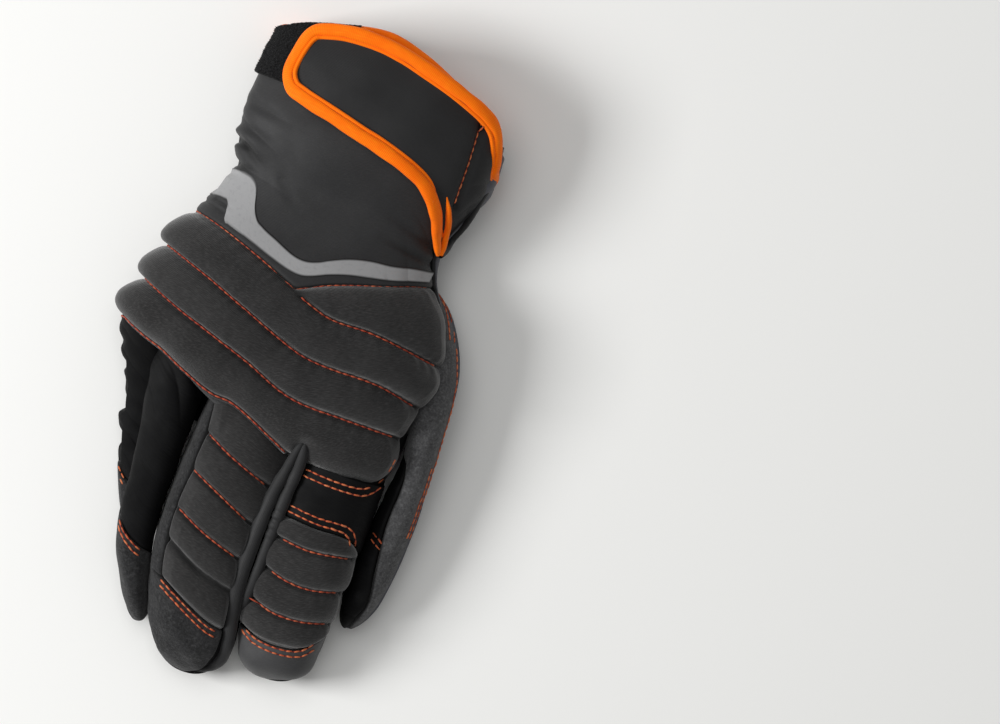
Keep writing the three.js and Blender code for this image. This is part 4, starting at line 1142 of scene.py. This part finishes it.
pinky_pad = between(pinky, pinky_lines[0], pinky_lines[1], level(PI + 0.3), level(-0.1), 130, 90)
pinky_pad.push += creased_side(pinky_pad, curve(PINKY_EDGE))
panel(
    "pinky_back_stretch", BLACK, "pinky_back", pinky_pad, -0.7, [(0.3, 9, 95)],
    [(1.3, (0.5, 1, 0.2), 8.5, 94)], STRETCH_SEAMS
)
pinky_cap = between(pinky, pinky_lines[1], level(pinky.end), ROUND_LEFT, level(-0.2), 70, 90, dense_end=True)
pinky_cap.push += creased_side(pinky_cap, curve(PINKY_EDGE))
panel(
    "pinky_tip_suede", TIP_SUEDE, "pinky_tip", pinky_cap, 0.2, [(0.5, 9, 96)],
    seams=[("top left right", 1.5, 2.2)]
)

# Thumb
thumb_seam = curve(
    [
        (46, 40), (30, 46), (10, 50), (-10, 52), (-26, 54.4), (-30, 57), (-60, 58), (-80, 60.5),
        (-92, 62), (-106, 58),
    ]
)
thumb_skin = between(thumb, level(44), level(thumb.end), *WHOLE_ROUND, 150, 70, dense_end=True)
thumb_skin.push += np.where(np.sin(thumb_skin.angle) > 0, UNDER, 0.1) + 0.3 * waves(thumb_skin.base, 16, 97)
dress("thumb_front_softshell", [thumb_skin], SLATE, "thumb_front")

panel(
    "thumb_back_suede", THUMB_SUEDE, "thumb_back",
    between(
        thumb, level(45), level(thumb.end), edge(thumb, thumb_seam), level(0.35), 200, 70, dense_end=True
    ), 0.5, [(0.6, 18, 98), (0.2, 6, 99)], seams=[("left right", 1.6, 2.2)]
)
panel(
    "thumb_inner_stretch", BLACK, "thumb_inner",
    between(
        thumb, level(-24), level(thumb.end), level(PI + 0.2), edge(thumb, thumb_seam), 130, 50, dense_end=True
    ), 0.4, [(0.2, 7, 131)], [(0.5, (0.3, 1, 0.1), 11, 130)], [("left right", 1.6, 2.2)]
)

# Thumb's side of the hand and cuff, and the heel of the thumb
slate_left = curve([(130, -4.9), (72, -3), (55, 7.5), (30, 22.9), (-11.6, 37), (-16, 51)])
palm_seam = curve([(72, -3), (48, -6.7), (36, -5.5), (22.9, 1.6), (11, 13.4), (4, 22.9), (-1, 33.5)])


def slate_right(y):
    """Where the cloth at the thumb's side ends: at the cuff's back, and low on the hand."""
    return np.where(y > 44.5, hand.angle(cuff_right(y), y), 0.12)


slate_side = between(
    hand, lambda x: mouth_line(x) - 5, level(-14), edge(hand, slate_left, True), slate_right, 120, 90
)
at_waist = smooth(slate_side.y, 45, 70) * (1 - smooth(slate_side.y, 90, 110))
slate_side.push += 1.2 * folds(slate_side.base, (0.1, 1, 0.6), 13, 141) * at_waist
panel(
    "thumb_side_softshell", SLATE, None, slate_side, 0.95, [(0.4, 24, 140)],
    seams=[("left right", 1.4, 2.2)]
)
panel(
    "thumb_heel_suede", SUEDE, "thumb_heel",
    between(
        hand, level(71), level(-0.5), edge(hand, palm_seam, True), edge(hand, slate_left, True), 90, 50
    ), 1.1, [(0.2, 16, 142)], seams=[("left right", 1.0, 1.8)]
)


# Cuff's edge: its tape and the lining inside
def mouth_band(profile, columns=260):
    """A band round the cuff's mouth, from a profile of drops along the cuff and pushes off its skin."""
    angle = np.linspace(0, 2 * PI, columns, endpoint=False)[None, :]
    drop, push = (np.array(p, float)[:, None] for p in zip(*profile))
    share = smooth(np.sin(angle), -0.6, 0.5)
    y = np.full(angle.shape, 131.0)
    for _ in range(12):
        x = hand.point(y, angle)[..., 0]
        y = lerp(y, lerp(mouth_under(x), mouth_line(x), share), 0.7)
    y, angle, push = np.broadcast_arrays(y + drop, angle, push)
    base = hand.point(y, angle)
    points = hand.point(y, angle, push - 3.4 * smooth(base[..., 0], 36, 48) + 0.3 * waves(base, 16, 150))
    across, down = lengths(points, 1), lengths(points, 0)
    return points, np.stack([across, down], -1), True


tape_profile = [
    (-7, -0.6), (-7.2, 0.4), (-6.6, 1.2), (-5.4, 1.6), (-4, 1.7), (-2.6, 1.7), (-1.4, 1.5), (-0.4, 1.0),
    (0.2, 0.2), (0.3, -0.8), (0.0, -1.8), (-1.0, -2.6), (-3, -3.0), (-6, -3.1), (-7, -3.4), (-7.4, -4.0),
]
dress("mouth_edge_tape", [mouth_band(tape_profile)], ORANGE, "mouth_binding")
lining_profile = [(drop, -3.3) for drop in np.linspace(-5, -120, 40)]
dress("cuff_lining", [mouth_band(lining_profile, 120)], BLACK, snap=False)

# Loop tape beside the strap
pile_low = curve([(-64, 106.5), (-22, 104)])
tape = between(
    hand, lambda x: mouth_line(x) + 0.4, pile_low, level(PI + 0.1), edge(hand, level(-24)), 90, 150
)
tape.push += 2.2 + 0.38 * np.random.default_rng(151).normal(size=tape.x.shape)
tape.push += 0.3 * waves(tape.base, 5, 152) + 0.6 * cuff_relief(tape.base)
tape.seams("top low", 2.2, 1.4).seams("left", 1.1, 1.4)
dress("loop_tape_pile", [tape], PILE, "loop_tape", snap=False)

# Wrap strap
STRAP_TOP = [
    (-46, 126), (-44, 131), (-40, 134.5), (-35, 136.5), (-25, 138.6), (-10, 138.6), (10, 134.2),
    (25, 129.6), (38, 124.5), (44, 119.5), (48, 112), (51, 102), (54, 98),
]
STRAP_LOW = [
    (-46, 107), (-42, 102.5), (-38, 100.6), (-20, 95.6), (0, 90.6), (20, 83.6), (28, 75.8), (32, 67),
    (35, 60), (38, 62), (41, 69), (46, 82), (51, 95), (54, 97),
]
strap_top, strap_low = curve(STRAP_TOP), curve(STRAP_LOW)
lift = curve([(-50, 4.4), (-20, 4.2), (20, 3.6), (38, 2.9), (46, 1.6), (49.5, 0.0), (51, -0.7), (55, -0.8)])
strap = between(
    hand, lambda x: strap_top(x) - 2.5, lambda x: strap_low(x) + 2.5, edge(hand, level(-44)), level(-0.3),
    130, 220
)
strap_puff = smooth(np.minimum(strap.d_top, strap.d_low), 2, 16)
strap.push += lift(strap.x) + 0.9 * strap_puff
strap.push += 0.25 * waves(strap.base, 15, 160) + 0.35 * waves(strap.base, 34, 161)
across_strap = path_over(hand, [(36.4, 117.4), (36.6, 105), (36.8, 92), (36.8, 81)])
far_strap, _ = nearest(strap.base, across_strap[0])
strap.push -= 0.9 * bell(far_strap, 2.2)
beyond = smooth(strap.x, 37, 43)
strap.push += beyond * (0.8 * folds(strap.base, (1.0, -0.45, 0.2), 9, 163) - 0.2)
pucker(strap, [across_strap[0]], 164, 0.3, 3.5)
dress("wrap_strap_softshell", [strap], STRAP, "wrist_strap")


def tape_path(points, lifts):
    """A path over the hand's back: points x, y, or None, y, angle where it runs round the side."""
    girth = 50
    rows = [(p[1], girth * (float(hand.angle(*p)) if p[0] is not None else p[2])) for p in points]
    y, angle = spline(rows, 0.8).T
    angle = angle / girth
    out = outward(hand, y, angle)
    base = hand.point(y, angle)
    return base + out * lifts(base[:, 0])[:, None], out


binding_points = [
    (36.3, 59.2), (33.4, 66.5), (29.8, 76.3), (21, 86), (0, 94), (-20, 99.1), (-35, 103), (-40.8, 105.6),
    (-43.6, 112), (-42.3, 123), (-39.6, 130.2), (-34, 133), (-25, 135), (-10, 135), (9, 130.8),
    (24, 126.3), (36.5, 121.2), (41.7, 117), (45.2, 111), (48.1, 104), (None, 100.5, 0.3),
    (None, 98, 0.05), (None, 96, -0.25), (None, 94, -0.5),
]
binding_centre, binding_out = tape_path(binding_points, lambda x: lift(x) + 0.5)
run = np.linspace(0, 1, len(binding_centre))
half_width = 2.95 + 0.12 * np.sin(run * 61) + 0.1 * np.sin(run * 143)
half_width *= np.interp(run, [0, 0.01, 0.04, 0.09, 0.15, 0.93, 1], [0.25, 0.5, 0.8, 1.1, 1.0, 1.0, 0.5])
half_height = 1.9 + 0.12 * np.sin(run * 97 + 1)
half_height *= np.interp(run, [0, 0.02, 0.06, 0.93, 1], [0.4, 0.8, 1, 1, 0.5])
binding = sweep(aside(binding_centre, binding_out, -0.65), binding_out, half_width, half_height, 20, 2.3)
flange = sweep(
    aside(binding_centre, binding_out, 2.75)[12:] - binding_out[12:] * 0.35, binding_out[12:], 0.95, 0.95,
    12, 2.6
)
groove = sweep(
    aside(binding_centre, binding_out, 1.95)[10:] + binding_out[10:] * 0.42, binding_out[10:], 0.2, 0.18,
    6, 2.0
)
dress("strap_tape_thread", [groove], THREAD_UNDER, snap=False)
inner_centre, inner_out = tape_path(
    [(36.7, 59.4), (37, 63.5), (36.4, 70), (34.8, 77), (32.2, 83.5)], lambda x: lift(x) + 0.5
)
inner_run = np.linspace(0, 1, len(inner_centre))
inner_width = 1.35 * np.interp(inner_run, [0, 0.1, 0.6, 1], [0.8, 1.1, 1, 0.4])
inner = sweep(
    inner_centre - inner_out * (1.4 * smooth(inner_run, 0.75, 1))[:, None], inner_out, inner_width, 1.4,
    14
)
dress("strap_edge_tape", [binding, flange, inner], ORANGE, "strap_binding")
roll_centre, roll_out = tape_path(
    [(37.6, 60), (40.4, 65.5), (43.4, 74), (47, 85), (50.2, 94), (None, 97, 0.05)],
    lambda x: lift(x) - 0.6
)
dress("strap_side_roll", [sweep(roll_centre, roll_out, 2.3, 2.0, 14)], STRAP)

# Palm's side: reinforcement, gathers and pull loop
PALM_PATCH = [
    (0.4, 14), (-14.4, 8), (-18.5, 8.6), (-33.8, 15.2), (-45.7, 20), (-56.3, 29.5), (-61, 31.3),
    (-65.2, 27.7), (-64.6, 23.5), (-59.8, 17.6), (-49.2, 11.6), (-38.6, 5.1), (-32.1, 0.3), (-33.8, -1.5),
    (-45.7, -2.7), (-57.5, -2.3), (-68, 0.9), (-70, 5.1), (-69, 18.2), (-65, 42), (-61, 55), (-58, 59),
    (-52, 58), (-45.7, 56.3), (-24.4, 52.7), (-19.7, 48), (-14.9, 36.1), (-10.2, 24.1),
]


def closed_path(points, step):
    """A smooth path through points and back to the first."""
    return spline([*points, points[0]], step)


def inset(loop, distance):
    """A closed outline moved inwards."""
    along = np.roll(loop, -1, 0) - np.roll(loop, 1, 0)
    along /= np.linalg.norm(along, axis=1, keepdims=True)
    turn = np.sign(np.sum(loop[:, 0] * np.roll(loop[:, 1], -1) - np.roll(loop[:, 0], -1) * loop[:, 1]))
    return loop + turn * distance * np.stack([-along[:, 1], along[:, 0]], 1)


def patch_outline():
    """The reinforcement's outline, kept off the hand's side, where the palm curves up."""
    loop = closed_path(PALM_PATCH[::-1], 0.5)
    loop[:, 0] = np.maximum(loop[:, 0], hand.left(loop[:, 1]) + 5)
    return evenly(loop, 1.2)[:-1]


def palm_patch():
    """The reinforcement, laid over the palm's underside."""
    loop = patch_outline()
    n = len(loop)
    spread = np.stack(np.meshgrid(np.arange(-72, 2, 2.5), np.arange(-4, 61, 2.5)), -1).reshape(-1, 2)
    flat = [Vector(p) for p in np.concatenate([inset(loop, 0.9), spread])]
    found = delaunay_2d_cdt(flat, [], [list(range(n))], 1, 1e-4)
    inner, faces = np.array([tuple(p) for p in found[0]]), [list(f) for f in found[2]]
    rows = [(loop, -0.1), (loop, -0.75), (inset(loop, 0.35), -0.95), (inner, -1.05)]
    start = 3 * n
    rim = [int(np.linalg.norm(inner - p, axis=1).argmin()) for p in inset(loop, 0.9)]
    faces = [[start + i for i in reversed(f)] for f in faces]
    for r in range(3):
        below = [start + i for i in rim] if r == 2 else [(r + 1) * n + i for i in range(n)]
        faces += [(r * n + i, below[i], below[(i + 1) % n], r * n + (i + 1) % n) for i in range(n)]
    points = []
    for outline, drop in rows:
        x, y = outline[:, 0], outline[:, 1]
        z = hand.point(y, hand.angle(x, y, True), 0.1)[:, 2] + drop
        points += np.column_stack([x, y, np.maximum(z, 0.1)]).tolist()
    points = np.array(points)
    uvs = points[np.concatenate([list(face) for face in faces]), :2]
    return place("palm_reinforcement", points, faces, uvs, np.zeros(len(points)), BLACK, "palm_patch")


palm_patch()
gathers = between(
    hand, level(93), level(75), edge(hand, level(-44), True), edge(hand, level(30), True), 40, 200
)
pleats = np.abs(np.sin(PI * gathers.x / 7.4 + 0.5 * waves(gathers.base, 20, 170))) ** 0.8
gathers.push += 0.9 + 1.3 * pleats * np.sin(PI * gathers.v) ** 0.5
dress("wrist_gathers_suede", [gathers], SUEDE, "wrist_elastic")

loop_turn = np.linspace(-PI / 2, PI / 2, 14)
loop_yz = [
    (99, 0.9), (110, 0.9), (125, 0.9),
    *((136 + 4.9 * math.cos(t), 5.85 + 4.9 * math.sin(t)) for t in loop_turn), (132, 10.8), (127, 10.8),
]
loop_path = spline(loop_yz, 0.8)
loop_centre = np.stack([np.full(len(loop_path), -16.5), loop_path[:, 0], loop_path[:, 1]], 1)
loop_tangent = np.gradient(loop_centre, axis=0)
loop_normal = np.stack([np.zeros(len(loop_path)), -loop_tangent[:, 2], loop_tangent[:, 1]], 1)
dress("pull_loop_webbing", [sweep(loop_centre, loop_normal, 6.0, 0.6, 20, 5.0)], WEBBING, "pull_loop")

# Where the rows of stitches run
for row in (
    [(17.6, -46.6), (30, -47.2), (41, -46.8), (46, -44.8), (49.6, -40.5), (51.4, -35), (52.2, -29)],
    [(17.4, -49.4), (30, -50.1), (42, -49.6), (46.5, -48), (50.2, -43.5), (51.4, -39)],
    [(16.8, -63.4), (30, -64.4), (42, -63.8), (46.4, -65.6), (48.6, -70), (48.8, -76)],
    [(16.6, -66), (30, -67.1), (41, -66.6), (45, -68.2), (46.8, -71.6)],
    [(13.8, -119.4), (22, -123), (33, -123.6), (42, -121.4), (47, -115.5)],
    [(14.8, -121.6), (22, -125.2), (33, -125.9), (42.6, -123.8), (47.6, -118.5)],
    [(-25, -112.8), (-10, -120.4), (0, -125), (5.5, -126)],
    [(-24.6, -115.2), (-10, -122.8), (0, -127.4), (6, -128.6)],
    [(-52.4, -92), (-48, -98.2), (-40, -103.2), (-35.5, -104.6)],
    [(-50.4, -97.4), (-46, -102), (-40, -105.8), (-35, -107)],
    [(-62.4, -71.6), (-58.8, -75), (-56, -77.8), (-52.6, -80.2)],
    [(-62, -74.2), (-58.4, -77.6), (-55.6, -80.2), (-52.2, -82.4)],
    [(53.8, -62.9), (56.5, -64.4), (59.6, -66.2)],
    [(53.8, -65.7), (56.5, -67.3), (59.6, -69.1)],
):
    sew_from_above(row)
sew(across_strap)
for start, angle in ((24, 0.5), (-28, 0.72)):
    row_y = np.linspace(start, -62, 200)
    sew((thumb.point(row_y, angle), outward(thumb, row_y, angle)))
sew(path_over(thumb, [(45.5, 43), (50.5, 38), (54.5, 31.5), (57, 26)]))
sew(path_over(thumb, [(47, 44), (52.4, 39), (56.6, 32), (59.2, 26)]))
for row in (
    [(22.5, 4.8), (8.4, 4.8), (-1, -8), (-7.4, -14.7), (-12.7, -16.1), (-23.8, -13),
     (-43.6, -16.1), (-52.4, -15.2), (-61.2, -12.1), (-72, -10.3)],
    [(22.5, 7.4), (7.4, 7.4), (-2.5, -5.6), (-8.9, -12.1), (-13.2, -13.4), (-23.8, -10.3),
     (-43.6, -13.4), (-52.4, -12.5), (-61.2, -9.4), (-72, -7.6)],
    [(35.9, -2.7), (22.9, 2.7), (13.4, 11), (1.6, 22.9), (-5.5, 36.1), (-6.7, 48), (-6.1, 64.7),
     (-4.3, 74.2), (-4.9, 124)],
):
    sew(path_over(hand, row, True))
for gap in (1.6, 4.2):
    ring_path = inset(patch_outline(), gap)
    flat = np.column_stack([ring_path, np.full(len(ring_path), 0.35)])
    sew((flat, np.tile([0.0, 0.0, -1.0], (len(flat), 1))))
for low_y in (78, 86):
    zig = [(x, low_y + (4.5 if i % 2 else 0)) for i, x in enumerate(np.arange(-43, 29, 3.2))]
    flat = evenly(np.array(zig, float), 0.5)
    angle = hand.angle(flat[:, 0], flat[:, 1], True)
    sew((hand.point(flat[:, 1], angle), outward(hand, flat[:, 1], angle)))


def snapping_tree():
    """All the cloth that stitches are sewn onto, for casting rays at."""
    points, faces, offset = [], [], 0
    for piece in cloth_for_snapping:
        flat = np.empty(len(piece.data.vertices) * 3)
        piece.data.vertices.foreach_get("co", flat)
        points += flat.reshape(-1, 3).tolist()
        faces += [[i + offset for i in face.vertices] for face in piece.data.polygons]
        offset = len(points)
    return BVHTree.FromPolygons(points, faces)


def stitch_shape():
    """One stitch along x: a short thread that rises between two holes, as points and faces."""
    share = np.array([0.0, 0.12, 0.5, 0.88, 1.0])
    radius = np.array([0.14, 0.34, 0.4, 0.34, 0.14])
    height = np.array([-0.3, 0.08, 0.2, 0.08, -0.3])
    rings, sides = len(share), 6
    turn = np.linspace(0, 2 * PI, sides, endpoint=False)
    along = np.broadcast_to(((share - 0.5) * STITCH)[:, None], (rings, sides))
    ring = np.stack(
        [along, radius[:, None] * np.cos(turn), 0.75 * radius[:, None] * np.sin(turn) + height[:, None]],
        -1
    )
    faces = []
    for start in range(0, (rings - 1) * sides, sides):
        for i in range(sides):
            after = (i + 1) % sides
            faces.append((start + i, start + after, start + sides + after, start + sides + i))
    faces += [tuple(range(sides - 1, -1, -1)), tuple(range((rings - 1) * sides, rings * sides))]
    return ring.reshape(-1, 3), faces


def make_stitches():
    """Sews every row. Both ends of a stitch are dropped onto the cloth, and one that misses is left out."""
    tree = snapping_tree()
    shape, shape_faces = stitch_shape()
    random = np.random.default_rng(7)
    points, faces, uvs, unders, shades = [], [], [], [], []
    for path, out, quilting in seams_to_sew:
        run = distance_along(path)
        at = np.arange(STITCH / 2, run[-1] - STITCH / 2, STITCH + STITCH_GAP)
        ends = []
        for shift in (-STITCH / 2, STITCH / 2):
            where = np.stack([np.interp(at + shift, run, path[:, i]) for i in range(3)], 1)
            way = np.stack([np.interp(at + shift, run, out[:, i]) for i in range(3)], 1)
            hits = []
            for p, n in zip(where, way):
                eye = Vector((p + n * RAY_START + PLACE) / 1000)
                hit = tree.ray_cast(eye, Vector(-n), RAY_LENGTH / 1000)[0]
                hits.append(np.array(hit) * 1000 - PLACE if hit else np.full(3, MISSED))
            ends.append(np.array(hits).reshape(-1, 3))
        way = np.stack([np.interp(at, run, out[:, i]) for i in range(3)], 1)
        reach = np.linalg.norm(ends[1] - ends[0], axis=1)
        good = (np.abs(ends).max((0, 2)) < MISSED) & (reach < STITCH * 1.8) & (reach > 0.5)
        good[1:] &= np.linalg.norm(ends[0][1:] - ends[1][:-1], axis=1) < STITCH * 1.5
        breaks = np.flatnonzero(~good)
        for block in np.split(np.arange(len(at)), np.sort(np.concatenate([breaks, breaks + 1]))):
            if len(block) > 2 and good[block].all():
                row = np.stack([ends[0][block], ends[1][block]], 1).reshape(-1, 3)
                out_row = np.repeat(way[block], 2, 0)
                under = sweep(row + out_row * 0.06, out_row, 0.3, 0.24, 5, 2.0)
                under[0][..., 2] = np.maximum(under[0][..., 2], THREAD_FLOOR)
                unders.append(under)
        for a, b, n, long, sound in zip(ends[0], ends[1], way, reach, good):
            if not sound:
                continue
            t = (b - a) / long
            n = n - t * np.dot(n, t)
            n /= np.linalg.norm(n)
            side = np.cross(n, t)
            skew = random.normal(0, 0.05)
            t, side = t + side * skew, side - t * skew
            size = random.normal(1, 0.05)
            local = shape * [size * long / STITCH, size, size]
            placed = (a + b) / 2 + local @ np.stack([t, side, n]) + n * 0.08
            offset = len(points) * len(shape)
            points.append(placed)
            faces += [tuple(i + offset for i in face) for face in shape_faces]
            uvs.append(shape[:, :2] + random.uniform(0, 50, 2))
            shades.append(np.full(len(shape), np.clip(quilting + random.normal(0, 0.15), 0, 1)))
    points, uvs = np.concatenate(points), np.concatenate(uvs)
    points[:, 2] = np.maximum(points[:, 2], THREAD_FLOOR)
    corners = np.concatenate([list(face) for face in faces])
    dress("stitch_thread_under", unders, THREAD_UNDER, snap=False)
    place("orange_stitches", points, faces, uvs[corners], np.concatenate(shades), THREAD, snap=False)


make_stitches()
